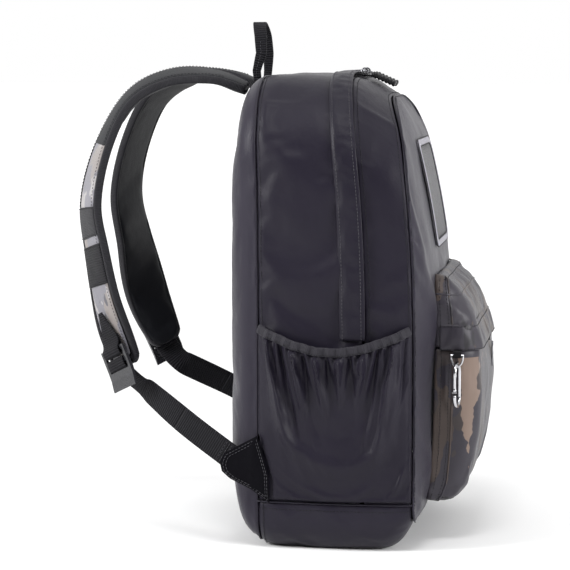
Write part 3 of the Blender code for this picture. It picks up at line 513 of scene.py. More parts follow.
def camouflage(name, colours, size, seed=0.0, blotch=False):
    """Printed satin: four tones in hard-edged blotches, and one tan blotch by the near edge of the pocket."""
    paint = Paint(name, sheen=0.06, specular=0.28)
    moved = paint.add("ShaderNodeMapping")
    moved.inputs["Scale"].default_value = (1.0, 0.55, 1.0)
    moved.inputs["Location"].default_value = (seed, seed * 0.37, 0.0)
    paint.link(paint.uv, moved.inputs["Vector"])
    at = moved.outputs["Vector"]
    ground, second, third, fourth = colours
    big = paint.noise(1.0 / size, 2.5, at, 0.6)
    other = paint.noise(1.45 / size, 3.0, paint.scaled(1.0, 1.0, 1.1, at), 0.62)
    small = paint.noise(2.3 / size, 2.0, paint.scaled(1.0, 1.0, 2.3, at), 0.55)
    base = paint.ramp(big, [(0.0, ground), (0.525, second)], True)
    patch = paint.ramp(other, [(0.0, (0, 0, 0)), (0.56, (1, 1, 1))], True)
    fleck = paint.ramp(small, [(0.0, (0, 0, 0)), (0.64, (1, 1, 1))], True)
    base = paint.mix(patch, base, third)
    base = paint.mix(fleck, base, fourth)
    if blotch:
        place = paint.add("ShaderNodeTexCoord").outputs["Object"]
        apart = paint.add("ShaderNodeSeparateXYZ")
        paint.link(place, apart.inputs[0])
        foot, flare, head, half, ragged = 0.090, 0.055, 0.186, 0.0086, 0.016  # a wedge, pointed at its foot
        wide = paint.math("ABSOLUTE", paint.math("ADD", apart.outputs["Y"], 0.1345), 0.0)
        high = paint.math("MULTIPLY", paint.math("SUBTRACT", apart.outputs["Z"], foot), 1 / flare)
        room = paint.math("MULTIPLY", paint.math("MINIMUM", high, 1.0), half)
        edge = paint.math("MULTIPLY", paint.math("SUBTRACT", paint.noise(75, 2, place), 0.5), ragged)
        low_part = paint.math("LESS_THAN", apart.outputs["Z"], head)
        inside = paint.math("LESS_THAN", paint.math("ADD", wide, edge), room)
        inside = paint.math("MULTIPLY", inside, low_part)
        near = paint.math("LESS_THAN", apart.outputs["X"], 0.0)
        base = paint.mix(paint.math("MULTIPLY", inside, near), base, (0.185, 0.132, 0.105))
    cloudy = paint.noise(22, 4)
    paint.colour(paint.mix(cloudy, paint.mix(0.22, base, (0, 0, 0)), paint.mix(0.04, base, (0.5, 0.47, 0.5))))
    satin = paint.bands(0.0010, "X")
    paint.rough(cloudy, 0.32, 0.50)
    paint.bump([(paint.noise(34, 3), 0.2, 0.0018), (satin, 0.25, 0.0002)])
    return paint.mat


def spacer_mesh(name, colour, pitch=0.0028):
    """Open knitted mesh over foam."""
    paint = Paint(name, 0.8, sheen=0.3, specular=0.3)
    cells = paint.add("ShaderNodeTexVoronoi", Scale=1.0)
    cells.inputs["Randomness"].default_value = 0.15
    paint.link(paint.scaled(1 / pitch, 0.8 / pitch), cells.inputs["Vector"])
    hole = paint.ramp(cells.outputs["Distance"], [(0.12, (0, 0, 0)), (0.42, (1, 1, 1))])
    # The holes are painted darker: painted shade where the knit sinks towards the foam.
    paint.colour(paint.mix(paint.noise(20, 3), paint.mix(hole, shade(colour, 0.35), shade(colour, 1.15)),
                           paint.mix(hole, shade(colour, 0.5), shade(colour, 1.5))))
    paint.bump([(paint.noise(60, 2), 0.2, 0.001), (hole, 0.6, 0.0005)])
    return paint.mat


def moulded(name, colour, roughness=0.38, grain=700.0, specular=0.5, wear=0.35):
    """Injection-moulded plastic or rubber: fine texture, scuffed here and there."""
    paint = Paint(name, roughness, specular=specular)
    place = paint.add("ShaderNodeTexCoord").outputs["Object"]
    scuff = paint.ramp(paint.noise(160, 4, place), [(0.55, (0, 0, 0)), (0.75, (1, 1, 1))])
    paint.colour(paint.mix(paint.math("MULTIPLY", scuff, wear), colour, shade(colour, 3.0)))
    paint.rough(scuff, roughness, min(roughness + 0.22, 0.9))
    paint.bump([(paint.noise(grain, 2, place), 0.25, 0.0002)])
    return paint.mat


def plated(name, colour=(0.78, 0.78, 0.80), roughness=0.14):
    """Polished metal with faint smears."""
    paint = Paint(name, roughness, metallic=1.0)
    place = paint.add("ShaderNodeTexCoord").outputs["Object"]
    smear = paint.noise(90, 4, place)
    paint.colour(paint.mix(smear, shade(colour, 0.86), colour))
    paint.rough(smear, roughness * 0.6, roughness * 1.9)
    paint.bump([(paint.noise(500, 2, place), 0.06, 0.0002)])
    return paint.mat


CLOTH = woven("body_polyester", (0.0098, 0.0080, 0.0150), sheen=0.04)
# A lighter copy of the body polyester: painted light, for the light that the front panel and the pad's rim
# catch.
PAINTED_LIGHT_CLOTH = woven("polyester_painted_light", (0.0170, 0.0145, 0.0240), sheen=0.10)
BOOT_CLOTH = woven("boot_polyester", (0.0130, 0.0110, 0.0190), pitch=0.0012, sheen=0.06)
FLAP_CLOTH = woven("flap_polyester", (0.0090, 0.0074, 0.0140), sheen=0.05)
LINING_CLOTH = woven("lining_polyester", (0.050, 0.050, 0.056))
BACK_MESH = spacer_mesh("back_mesh", (0.036, 0.036, 0.044), 0.0024)
STRAP_MESH = woven("strap_lining", (0.0046, 0.0050, 0.0074), pitch=0.0012, sheen=0.03, roughness=0.6)
ANCHOR_CLOTH = woven("anchor_cloth", (0.0030, 0.0028, 0.0042), pitch=0.0012, sheen=0.0, roughness=0.7,
                     specular=0.05)
TRIM = ribbed("edge_tape", (0.0085, 0.0080, 0.0110), 0.0016, 0.04, depth=0.0003, light=1.5)
HEM_TAPE = ribbed("hem_tape", (0.0160, 0.0145, 0.0205), 0.0012, 0.06, depth=0.0002, light=1.3)
WEB = ribbed("polyester_webbing", (0.0048, 0.0046, 0.0062), 0.0024, 0.03, 0.65, light=2.4, specular=0.14)
THREAD = moulded("thread", (0.006, 0.006, 0.008), 0.6, 2000, 0.3, 0.1)
LIGHT_THREAD = moulded("light_thread", (0.050, 0.048, 0.056), 0.6, 2000, 0.3, 0.1)
ZIP_TAPE = woven("zip_tape_knit", (0.012, 0.012, 0.015), 0.0014, 0.1, 0.8)
COIL = moulded("zip_coil", (0.010, 0.010, 0.012), 0.4)
PILE = spacer_mesh("loop_pile_patch", (0.022, 0.021, 0.026), 0.0013)
FRAME_TAPE = ribbed("patch_edge", (0.300, 0.290, 0.330), 0.0011, 0.1, 0.5, 0.0003, 1.2)
POCKET_PRINT = camouflage("pocket_print", ((0.022, 0.019, 0.028), (0.034, 0.026, 0.026),
                                           (0.052, 0.037, 0.031), (0.012, 0.011, 0.015)), 0.075, blotch=True)
STRAP_PRINT = camouflage("strap_print", ((0.170, 0.166, 0.190), (0.230, 0.205, 0.195),
                                         (0.340, 0.325, 0.325), (0.075, 0.073, 0.088)), 0.045, seed=3.1)
ACETAL = moulded("acetal_black", (0.016, 0.016, 0.019), 0.24, 500, 0.6)
RUBBER = moulded("pull_rubber_black", (0.005, 0.005, 0.006), 0.42, 900, 0.4)
CHROME = plated("polished_steel", (0.55, 0.55, 0.57), 0.16)
DARK_METAL = plated("gunmetal", (0.16, 0.16, 0.17), 0.28)
BOARD = moulded("board_plastic", (0.030, 0.030, 0.032), 0.6)

# ---------------------------------------------------------------- small parts


def stitches(name, lines, body, blend=None, pitch=0.0034, length=0.0025, radius=0.00036, lift=0.00015,
             mat=THREAD, across=False):
    """Raised thread along lines of points with normals; across turns each stitch over its line, as zip teeth."""
    verts, faces = [], []
    rings = ((-0.5, 0.45, -0.6), (0.0, 1.0, 0.4), (0.5, 0.45, -0.6))
    for line in lines:
        marks = np.concatenate([[0], np.cumsum(np.linalg.norm(np.diff(line[:, :3], axis=0), axis=1))])
        count = max(int(marks[-1] / pitch), 2)
        at = (np.arange(count) + 0.5) * marks[-1] / count
        spots = np.stack([np.interp(at, marks, line[:, k]) for k in range(6)], 1)
        ahead = np.stack([np.interp(np.minimum(at + 0.001, marks[-1]), marks, line[:, k]) for k in range(3)], 1)
        behind = np.stack([np.interp(np.maximum(at - 0.001, 0), marks, line[:, k]) for k in range(3)], 1)
        along = ahead - behind
        along /= np.linalg.norm(along, axis=1, keepdims=True)
        normal = spots[:, 3:] / np.linalg.norm(spots[:, 3:], axis=1, keepdims=True)
        side = np.cross(along, normal)
        if across:
            along, side = side, along
        for p, t, n, b in zip(spots[:, :3], along, normal, side):
            first = len(verts)
            for reach, size, rise in rings:
                for k in range(5):
                    a = 2 * math.pi * k / 5
                    ring = n * math.cos(a) + b * math.sin(a)
                    verts.append(p + t * reach * length + n * (lift + rise * radius) + ring * size * radius)
            for r in range(2):
                for k in range(5):
                    m = (k + 1) % 5
                    faces.append((first + 5 * r + k, first + 5 * r + m, first + 5 * r + 5 + m,
                                  first + 5 * r + 5 + k))
            faces.append(tuple(first + k for k in range(4, -1, -1)))
            faces.append(tuple(first + 10 + k for k in range(5)))
    mesh = bpy.data.meshes.new(name)
    mesh.from_pydata([tuple(v) for v in verts], [], faces)
    mesh.shade_smooth()
    mesh.materials.append(mat)
    obj = bpy.data.objects.new(name, mesh)
    bpy.context.scene.collection.objects.link(obj)
    return attach(obj, body, blend)


def frames_along(path, up, closed=False):
    """Tangent, side and normal at each point; the side stays square to the given up directions."""
    path = np.array(path, float)
    if closed:
        tangent = np.roll(path, -1, 0) - np.roll(path, 1, 0)
    else:
        tangent = np.gradient(path, axis=0)
    tangent /= np.maximum(np.linalg.norm(tangent, axis=1, keepdims=True), 1e-9)
    up = np.broadcast_to(np.array(up, float), path.shape)
    side = np.cross(tangent, up)
    side /= np.maximum(np.linalg.norm(side, axis=1, keepdims=True), 1e-9)
    return tangent, side, np.cross(side, tangent)


def sweep(name, path, up, shape, mat, body, blend=None, nodes=(), closed=False, detail=1, sizes=None):
    """A closed cross-section of (side, normal) points swept along a path."""
    path = np.array(path, float)
    _, side, normal = frames_along(path, up, closed)
    shape = np.array(shape, float)
    sizes = np.ones((len(path), 2)) if sizes is None else np.array(sizes, float)
    rows = [p + np.outer(shape[:, 0] * k[0], s) + np.outer(shape[:, 1] * k[1], n)
            for p, s, n, k in zip(path, side, normal, sizes)]
    grid = np.array(rows)
    if closed:
        grid = np.concatenate([grid, grid[:1]], 0)
    obj = grid_object(name, grid, True, True, (not closed, not closed))
    fix_normals(obj)
    dress(obj, mat, nodes)
    thicken(obj, 0, detail)
    return attach(obj, body, blend)


def fix_normals(obj):
    """Turn a closed mesh the right way out."""
    mesh = obj.data
    volume = 0.0
    for face in mesh.polygons:
        volume += face.center.dot(face.normal) * face.area
    if volume < 0:
        mesh.flip_normals()


def ellipse(half_side, half_normal, power=1.0, count=12):
    shape = []
    for a in np.linspace(0, 2 * math.pi, count, endpoint=False):
        c, s = math.cos(a), math.sin(a)
        shape.append((half_side * math.copysign(abs(c) ** power, c),
                      half_normal * math.copysign(abs(s) ** power, s)))
    return shape


def slab(half_side, half_normal):
    """Cross-section of a flat tape with softened edges."""
    h, n = half_side, half_normal
    e = min(0.0007, h / 3)
    return [(-h, -0.4 * n), (-h + e, -n), (-h / 3, -n), (h / 3, -n), (h - e, -n), (h, -0.4 * n),
            (h, 0.4 * n), (h - e, n), (h / 3, n), (-h / 3, n), (-h + e, n), (-h, 0.4 * n)]


def curve_points(points, per_span=10):
    """A smooth curve through points."""
    points = [Vector(p) for p in points]
    ends = [2 * points[0] - points[1]] + points + [2 * points[-1] - points[-2]]
    dense = []
    for a, b, c, d in zip(ends, ends[1:], ends[2:], ends[3:]):
        for t in (i / per_span for i in range(per_span)):
            dense.append(0.5 * ((2 * b) + (c - a) * t + (2 * a - 5 * b + 4 * c - d) * t ** 2
                                + (3 * b - a - 3 * c + d) * t ** 3))
    return dense + [points[-1]]


def paint_node(name, mat, bevel=0.0):
    """Give a kept CAD node its material, and a worn edge if it is hard."""
    obj = NODES[name]
    obj.data.materials.clear()
    obj.data.materials.append(mat)
    if bevel:
        edge = obj.modifiers.new("worn edge", "BEVEL")
        edge.width, edge.segments, edge.limit_method = bevel, 2, "ANGLE"
        edge.harden_normals = False
        obj.data.shade_smooth()
        obj.data.set_sharp_from_angle(angle=math.radians(50))


LID = ("bag_body", "lid", LID_BLEND)

# ---------------------------------------------------------------- body of the bag

CENTRE = (0, 0, 0.22)


def make_shell():
    """The body: two gussets, base, front panel and the padded back."""
    rear = np.array([arch(y0, BOOT_TOP + GAP, count=190)
                     for y0 in np.linspace(BACK_SEAM - GAP, ZIP_LINE + GAP, 21)])
    Panel("rear_gusset_cloth", rear, CENTRE, CLOTH, "body_cloth", ["rear_gusset"], fold=0.0024, seed=2,
          fold_size=0.07, stretch=(1, 1, 0.45), cap=0.0040, slack=0.020, pressure=0.45)
    front = np.array([arch(y0, BOOT_TOP + GAP, count=190)
                      for y0 in np.linspace(ZIP_LINE - GAP, FRONT_SEAM + GAP, 12)])
    Panel("front_gusset_cloth", front, CENTRE, CLOTH, "body_cloth",
          ["lid_gusset", "front_gusset_left", "front_gusset_right"], blend=LID, fold=0.0016, seed=5,
          fold_size=0.055, stretch=(1, 1, 0.5), cap=0.0030, slack=0.020, pressure=0.6, sink=0.0006, seam=0.0006)
    base = np.array([tray(y0, BOOT_TOP - GAP) for y0 in np.linspace(BACK_SEAM - GAP, FRONT_SEAM + GAP, 28)])
    Panel("base_cloth", base, (0, 0, 0.10), BOOT_CLOTH, "body_cloth", ["base_panel"], fold=0.0006, seed=7,
          pressure=0.0, gravity=0.0, slack=0.010, cap=0.0015)
    rows = []
    _, low, high, _, _ = section(FRONT_SEAM)
    levels = np.concatenate([np.linspace(low + GAP, 0.30, 46),
                             high - GAP - 0.14 * np.cos(np.linspace(0, math.pi / 2, 26))[1:]])
    for z in levels:
        wide = seam_half_width(z)
        across = np.sin(np.linspace(-1, 1, 44) * math.pi / 2)
        rows.append([(wide * t, panel_y(wide * t, z), z) for t in across])
    # The front panel wears the lighter copy of the polyester, with painted light.
    Panel("front_panel_cloth", np.array(rows), (0, 0.1, 0.25), PAINTED_LIGHT_CLOTH, "body_cloth",
          ["front_panel_lower", "lid_panel"], blend=LID, fold=0.0026, seed=11, fold_size=0.08,
          stretch=(1, 1, 0.6), cap=0.0030, slack=0.016, pressure=0.5, seam=0.0006)
    back_rows = [outline(y0, inset=0.0004) for y0 in np.linspace(BACK_SEAM + GAP, 0.0955, 14)]
    rim = outline(BACK_FACE - 0.0002)
    middle = np.array([0.0, BACK_FACE, 0.244])
    for share in np.linspace(0.95, 0.06, 17):
        row = middle + (rim - middle) * share
        row[:, 1] = BACK_FACE + 0.0010
        back_rows.append(row)
    grid = np.array(back_rows)
    x, z = grid[..., 0], grid[..., 2]
    pad = grid[..., 1] > 0.0945
    channel = np.exp(-((np.abs(x) - 0.024) / 0.0045) ** 2)
    for level in (0.125, 0.215, 0.305, 0.385):
        channel = np.maximum(channel, np.exp(-((z - level) / 0.0040) ** 2) * (np.abs(x) > 0.024)
                             * np.clip((0.098 - np.abs(x)) / 0.006, 0, 1))
    channel[RIM_ROWS] = 1.0
    grid[..., 1] += pad * (0.0008 - 0.0042 * channel - 0.0020 * (np.abs(x) < 0.02))
    pins = np.zeros(grid.shape[:2], bool)
    pins[:1] = True
    pins |= channel * pad > 0.6
    pins[-1:] = True
    back = Panel("back_pad", grid, (0, 0, 0.24), BACK_MESH, "padded_mesh", ["back_cover", "back_foam"],
                 closed=True,
                 seam=0.0, fold=0.0, pins=pins, slack=0.008, pressure=0.8, gravity=0.0, cap=0.0018,
                 thickness=0.0016)
    # The pad's rim takes the lighter copy of the polyester, with painted light.
    back.obj.data.materials.append(PAINTED_LIGHT_CLOTH)
    return back


RIM_ROWS = 16  # rings of the pad, from the seam, that are plain cloth; the mesh lies inside them


def close_back():
    """The pad's last ring is closed by one small face."""
    obj = PANELS["back_pad"].obj
    rows, cols = PANELS["back_pad"].grid.shape[:2]
    mesh = obj.data
    verts = [v.co.copy() for v in mesh.vertices]
    faces = [list(f.vertices) for f in mesh.polygons]
    uvs = [tuple(d.uv) for d in mesh.uv_layers[0].data]
    ring = [(rows - 1) * cols + j for j in range(cols)]
    if not PANELS["back_pad"].agrees:
        ring = ring[::-1]
    faces.append(ring)
    uvs += [(j * 0.0001, 0.2) for j in range(cols)]
    new = bpy.data.meshes.new("back_pad")
    new.from_pydata(verts, [], faces)
    layer = new.uv_layers.new(name="UVMap")
    layer.data.foreach_set("uv", np.array(uvs, np.float32).ravel())
    new.shade_smooth()
    new.materials.append(BACK_MESH)
    new.materials.append(PAINTED_LIGHT_CLOTH)
    # The rim rings take the lighter copy of the polyester, with painted light; the rest is mesh.
    for face in new.polygons:
        face.material_index = 1 if face.index < RIM_ROWS * cols else 0
    obj.data = new


def make_storm_flap():
    """A strip sewn in front of the back gusset, which covers the main zip."""
    rows = []
    for share in np.linspace(0, 1, 12):
        rise = np.interp(share, [0, 0.10, 0.35, 0.7, 1.0], [0.0006, 0.0022, 0.0042, 0.0052, 0.0048])
        row = arch(-0.0135 - 0.0237 * share, 0.2075, -rise, 200)
        side = np.clip((np.abs(row[:, 0]) - 0.030) / 0.03, 0, 1) * share ** 2
        row[:, 1] -= 0.0024 * side
        rows.append(row)
    Panel("storm_flap_cloth", np.array(rows), CENTRE, FLAP_CLOTH, "body_cloth", ["storm_flap"], seam=0.0,
          fold=0.0010, fold_size=0.040, seed=3, slack=0.006, pressure=0.0, gravity=0.0, cap=0.0012,
          thickness=0.0014, detail=1)


PATCH_HEIGHT, PATCH_LIFT = 0.3435, 0.0012  # its middle above the ground; how far it stands off the panel


def on_panel(x, z, rise):
    """A point of the patch, with z from the patch's middle."""
    return x, panel_y(x, PATCH_HEIGHT + z) - PATCH_LIFT - rise, PATCH_HEIGHT + z


def make_patch():
    """A blank framed patch on the lid."""
    loop = []
    half_x, half_z, radius = 0.060, 0.053, 0.010
    for turn, (cx, cz) in enumerate(((1, 1), (-1, 1), (-1, -1), (1, -1))):
        for a in np.linspace(0, math.pi / 2, 7):
            b = a + turn * math.pi / 2
            loop.append((cx * (half_x - radius) + radius * math.cos(b),
                         cz * (half_z - radius) + radius * math.sin(b)))
    flat = resample(loop, 120, True)

    def ring(inset, rise):
        scale = np.array([(half_x - inset) / half_x, (half_z - inset) / half_z])
        return np.array([on_panel(x, z, rise) for x, z in flat * scale])

    frame_rows = [ring(b, r) for b, r in ((0.0, -0.0012), (0.0003, 0.0005), (0.0014, 0.0010), (0.0032, 0.0011),
                                         (0.0050, 0.0010), (0.0060, 0.0004), (0.0062, -0.0010))]
    grid = np.array(frame_rows)
    _, agrees = grid_normals(grid, (0, 0.1, 0.34), True)
    border = dress(grid_object("patch_border", grid, agrees, True), FRAME_TAPE, ["patch_frame"])
    thicken(border, 0.0006)
    attach(border, None, LID)
    rows = []
    for t in np.linspace(-1, 1, 24):
        z = t * (half_z - 0.0058)
        wide = half_x - 0.0058
        over = max(abs(z) - (half_z - radius), 0.0)
        wide -= radius - math.sqrt(max(radius ** 2 - over ** 2, 0.0))
        rows.append([on_panel(x, z, -0.0004) for x in np.linspace(-wide, wide, 24)])
    grid = np.array(rows)
    _, agrees = grid_normals(grid, (0, 0.1, 0.34))
    field = dress(grid_object("patch_pile", grid, agrees), PILE, ["patch_field"])
    thicken(field, 0.0008)
    attach(field, None, LID)
    for name, inset in (("patch_outer_welt", -0.0004), ("patch_inner_welt", 0.0066)):
        sweep(name, ring(inset, 0.0002), (0, -1, 0), ellipse(0.0005, 0.0005, 1.0, 6), THREAD, None,
              LID, closed=True, detail=0)


# ---------------------------------------------------------------- front pocket

# Profiles of the pocket and of its hood, upwards, as (z, front y, half width).
BODY_ROWS = (
    (0.0425, -0.109, 0.094), (0.0470, -0.122, 0.098), (0.0600, -0.1345, 0.100), (0.0850, -0.1425, 0.101),
    (0.1070, -0.1460, 0.101), (0.1500, -0.1488, 0.101), (0.1945, -0.1452, 0.100),
)
HOOD_ROWS = (
    (0.1955, -0.1450, 0.100), (0.2170, -0.1405, 0.100), (0.2280, -0.1375, 0.100), (0.2400, -0.1325, 0.100),
    (0.2530, -0.1235, 0.098), (0.2620, -0.1125, 0.093), (0.2665, -0.1085, 0.086),
)


POCKET_COLUMNS = 96


def pocket_row(z, face_y, half_width, offset=0.0, count=POCKET_COLUMNS):
    """A level line round the pocket, from the panel over its rounded corners and back."""
    half_width += offset
    face_y -= offset
    wall_y = panel_y(half_width, z) - SEAM_GAP
    radius = min(0.022 + offset, 0.8 * (wall_y - face_y))
    left = [(-half_width, wall_y)]
    for a in np.linspace(0, math.pi / 2, 12):
        left.append((-half_width + radius - radius * math.cos(a), face_y + radius - radius * math.sin(a)))
    right = [(-x, y) for x, y in reversed(left)]
    flat = resample(left + right, count)
    return np.stack([flat[:, 0], flat[:, 1], np.full(count, z)], 1)


def rim_row(z, half_width):
    """A pocket's edge where it is sewn flat on the panel."""
    crowd = math.pi / 2 * 0.9  # sets the points closer together towards the corners
    xs = np.sin(np.linspace(-1, 1, POCKET_COLUMNS) * crowd) / math.sin(crowd) * half_width
    return np.array([(x, panel_y(x, z) - SEAM_GAP, z) for x in xs])


def pocket_grid(rows, rim, count):
    """Pocket rows spaced evenly along the profile, with a rim on the panel added."""
    at = resample(np.array(rows), count)
    grid = [pocket_row(*row) for row in at]
    if rim[0] < rows[0][0]:
        return np.array([rim_row(*rim)] + grid)
    return np.array(grid + [rim_row(*rim)])


def make_front_pocket():
    """The printed pocket, the hood over it, and the flap over its zip."""
    centre = (0, -0.09, 0.15)
    body = pocket_grid(BODY_ROWS, (0.0412, 0.090), 32)
    Panel("front_pocket_cloth", body, centre, POCKET_PRINT, "camo_cloth", ["front_pocket_body"], fold=0.0022,
          fold_size=0.045, seed=4, stretch=(1, 1, 0.55), slack=0.024, pressure=0.9, gravity=0.3, cap=0.0035)
    hood = pocket_grid(HOOD_ROWS, (0.2675, 0.083), 20)
    Panel("front_pocket_hood_cloth", hood, centre, POCKET_PRINT, "camo_cloth", ["front_pocket_hood"],
          fold=0.0032, fold_size=0.034, seed=9, stretch=(1, 1.0, 1.0), slack=0.030, pressure=1.0, gravity=0.2,
          cap=0.0028)
    rows = []
    profile = np.array(BODY_ROWS + HOOD_ROWS)
    for z, rise in ((0.2195, -0.0012), (0.2175, 0.0004), (0.2130, 0.0013), (0.2060, 0.0019), (0.2000, 0.0021),
                    (0.1950, 0.0021), (0.1928, 0.0018)):
        face_y = np.interp(z, profile[:, 0], profile[:, 1])
        half = np.interp(z, profile[:, 0], profile[:, 2])
        rows.append(pocket_row(z, face_y, half, rise, 110)[2:-2])
    Panel("front_pocket_flap_cloth", np.array(rows), centre, POCKET_PRINT, "camo_cloth", ["front_pocket_flap"],
          fold=0.0012, fold_size=0.03, seed=6, seam=0.0, slack=0.02, pressure=0.0, gravity=0.2, cap=0.0020,
          thickness=0.0014)


def pocket_trim():
    """Stitching, the hood's cross seam and the welts beside the pocket's corners."""
    body, hood, flap = (PANELS[n] for n in ("front_pocket_cloth", "front_pocket_hood_cloth",
                                             "front_pocket_flap_cloth"))
    lines = []
    for panel, first, last in ((body, 0.06, 1.0), (hood, 0.0, 0.90)):
        for col in (0.025, 0.055, 0.945, 0.975):
            lines.append(panel.line(col=col, first=first, last=last))
    lines.append(flap.line(row=0.22))
    lines.append(flap.line(row=0.90))
    lines.append(body.line(row=0.09, first=0.05, last=0.95))
    lines.append(hood.line(row=0.86, first=0.05, last=0.95))
    stitches("pocket_stitching", lines, "bag_body")
    seam = hood.line(row=0.62)
    sweep("hood_seam", seam[:, :3] + seam[:, 3:] * 0.0002, seam[:, 3:], ellipse(0.0009, 0.0006, 1.0, 6),
          POCKET_PRINT, "bag_body", detail=0)
    for col, side in ((0.068, "left"), (0.932, "right")):
        path = np.concatenate([body.line(col=col), hood.line(col=col, last=0.92)])
        path = resample(path, 60)
        sweep(f"pocket_welt_{side}", path[:, :3] + path[:, 3:] * 0.0001, path[:, 3:],
              ellipse(0.0010, 0.0006, 1.0, 6), POCKET_PRINT, "bag_body", detail=0)


# ---------------------------------------------------------------- side pockets


def pocket_cut(z):
    """How far the side pocket's rear edge is cut away to leave room for the anchor."""
    return np.interp(z, [0.070, 0.115], [0.015, 0.0])


def side_point(share, height, z_rim, lift=0.0):
    """A point of the left side pocket by its shares along the rim and up from the boot."""
    z = 0.0505 + (z_rim - 0.0505) * height
    rear = 0.066 - pocket_cut(z)
    y0 = rear + (-0.083 - rear) * share
    swell = math.sin(math.pi * share) ** 0.7 if 0.0 < share < 1.0 else 0.0
    bulge = 0.015 * swell * height ** 0.6
    return np.array((-section(y0)[0] - 0.0026 - bulge - lift, y0 + lean(y0, z), z))


def rim_height(share):
    """The elastic mouth dips in the middle."""
    return 0.2135 - 0.020 * math.sin(math.pi * share)


LONG_FOLDS = (  # share at the hem, share at the tip, reach, half width, rise
    (0.05, 0.20, 0.62, 0.024, 0.0056), (0.15, 0.25, 0.42, 0.018, -0.0046), (0.23, 0.33, 0.40, 0.022, 0.0062),
    (0.31, 0.39, 0.44, 0.018, -0.0056), (0.39, 0.46, 0.36, 0.022, 0.0066), (0.47, 0.51, 0.38, 0.017, -0.0060),
    (0.54, 0.56, 0.30, 0.022, 0.0062), (0.62, 0.61, 0.40, 0.019, -0.0052), (0.70, 0.66, 0.32, 0.022, 0.0056),
    (0.79, 0.74, 0.38, 0.018, -0.0044), (0.91, 0.78, 0.66, 0.026, 0.0060), (0.965, 0.93, 0.45, 0.016, -0.0034),
)


def gathers(share, height):
    """Small pleats under the elastic, a few long folds running down from it, and the slack that hangs below."""
    depth = 1.0 - height
    lift = 0.0020 * math.exp(-depth / 0.045) * math.sin(math.pi * 2 * 15 * share + 2.2 * math.sin(7 * share))
    for at, toward, reach, width, strength in LONG_FOLDS:
        line = at + (toward - at) * min(depth / reach, 1.3)
        fade = math.exp(-(depth / reach) ** 3) * min(depth / 0.03, 1.0)
        lift += 1.45 * strength * fade * math.exp(-((share - line) / (width * (0.6 + depth / reach))) ** 2)
    ring = math.hypot((share - 0.52) / 0.34, (depth - 0.36) / 0.36)
    lift -= 0.0070 * math.exp(-(ring / 0.72) ** 4)
    lift += 0.0040 * math.exp(-((ring - 1.12) / 0.17) ** 2) * min(max((depth - 0.15) / 0.15, 0.0), 1.0)
    lift += 0.0030 * math.exp(-((share - 0.93 + 0.5 * (depth - 0.86)) / 0.018) ** 2) * math.exp(
        -((depth - 0.87) / 0.09) ** 2)
    return lift


def make_side_pockets():
    """The left pocket from its folds, and the right one as its mirror image."""
    rows = []
    for height in np.linspace(0, 1, 64):
        rows.append([side_point(s, height, rim_height(s), max(gathers(s, height), -0.012 * min(height, 0.5))
                                * min(1, 14 * s, 14 * (1 - s)) * min(1, 16 * height))
                     for s in np.linspace(0, 1, 140)])
    left = np.array(rows)
    right = left * np.array([-1, 1, 1])
    right = right[:, ::-1]
    for side, grid, x in (("left", left, 1), ("right", right, -1)):
        Panel(f"side_pocket_cloth_{side}", grid, (0.5 * x, 0, 0.12), CLOTH, "body_cloth",
              [f"side_pocket_{side}"], fold=0.0012, fold_size=0.030, seed=12 + x, thickness=0.0014, slack=0.018,
              pressure=0.15, gravity=0.6, cap=0.0024, seam=0.0006, detail=0)


def make_hems():
    """Bound elastic along the side pockets' mouths, slightly ruffled."""
    for side, sign in (("left", 1), ("right", -1)):
        grid = PANELS[f"side_pocket_cloth_{side}"].grid
        rim = resample(grid[-1], 150)
        for _ in range(6):
            rim[1:-1] = (rim[:-2] + 2 * rim[1:-1] + rim[2:]) / 4
        ruffle = np.array([0.00022 * math.sin(i * 1.35) + 0.00015 * math.sin(i * 0.71 + 1.3)
                           for i in range(150)])
        rim[:, 0] += -sign * ruffle - sign * 0.0010
        rim[:, 2] += 0.0042
        out = np.broadcast_to(np.array([-sign * 1.0, 0, 0]), rim.shape)
        sweep(f"pocket_hem_tape_{side}", rim, out, ellipse(0.0046, 0.0014, 0.6, 14), HEM_TAPE,
              "bag_body", nodes=[f"pocket_hem_{side}"])
        line = np.concatenate([rim + np.array([-sign * 0.0016, 0, -0.0030]), out], 1)
        stitches(f"hem_stitching_{side}", [line[3:-3]], "bag_body", pitch=0.0030)


# ---------------------------------------------------------------- shoulder straps

STRAP_ROUTE = (
    (-0.045, 0.0885, 0.447), (-0.050, 0.1260, 0.461), (-0.058, 0.1720, 0.460), (-0.066, 0.2120, 0.438),
    (-0.074, 0.2380, 0.390), (-0.080, 0.2505, 0.333), (-0.085, 0.2430, 0.281), (-0.091, 0.2290, 0.220),
    (-0.097, 0.2070, 0.168), (-0.100, 0.1960, 0.150),
)
STRAP_TWIST = {
    # distance along the strap and degrees turned out; the right one hangs straighter in the photograph
    "left": ((0.00, 0.0), (0.10, 12.0), (0.22, 24.0), (0.30, 30.0), (0.35, 38.0), (0.39, 56.0), (0.42, 59.0)),
    "right": ((0.00, 0.0), (0.10, 7.0), (0.22, 10.0), (0.30, 15.0), (0.36, 44.0), (0.40, 58.0), (0.42, 59.0)),
}
STRAP_HALF, STRAP_END, LOCK_AT = 0.033, 0.420, 0.400  # half width; distances along the route
STRAP_ANCHOR = Vector((-0.149, 0.088, 0.087))


class Route:
    """A smooth line through points, read by distance along it."""
    def __init__(self, points):
        self.points = curve_points(points, 12)
        self.marks = [0.0]
        for a, b in zip(self.points, self.points[1:]):
            self.marks.append(self.marks[-1] + (b - a).length)

    def at(self, distance):
        for i, mark in enumerate(self.marks[1:]):
            if distance <= mark or i == len(self.points) - 2:
                a, b = self.points[i], self.points[i + 1]
                return a.lerp(b, (distance - self.marks[i]) / (b - a).length)

    def tangent(self, distance):
        return (self.at(distance + 0.004) - self.at(distance - 0.004)).normalized()


STRAP = Route(STRAP_ROUTE)
TWISTS = {side: smoothed(rows, 1, 0.014) for side, rows in STRAP_TWIST.items()}


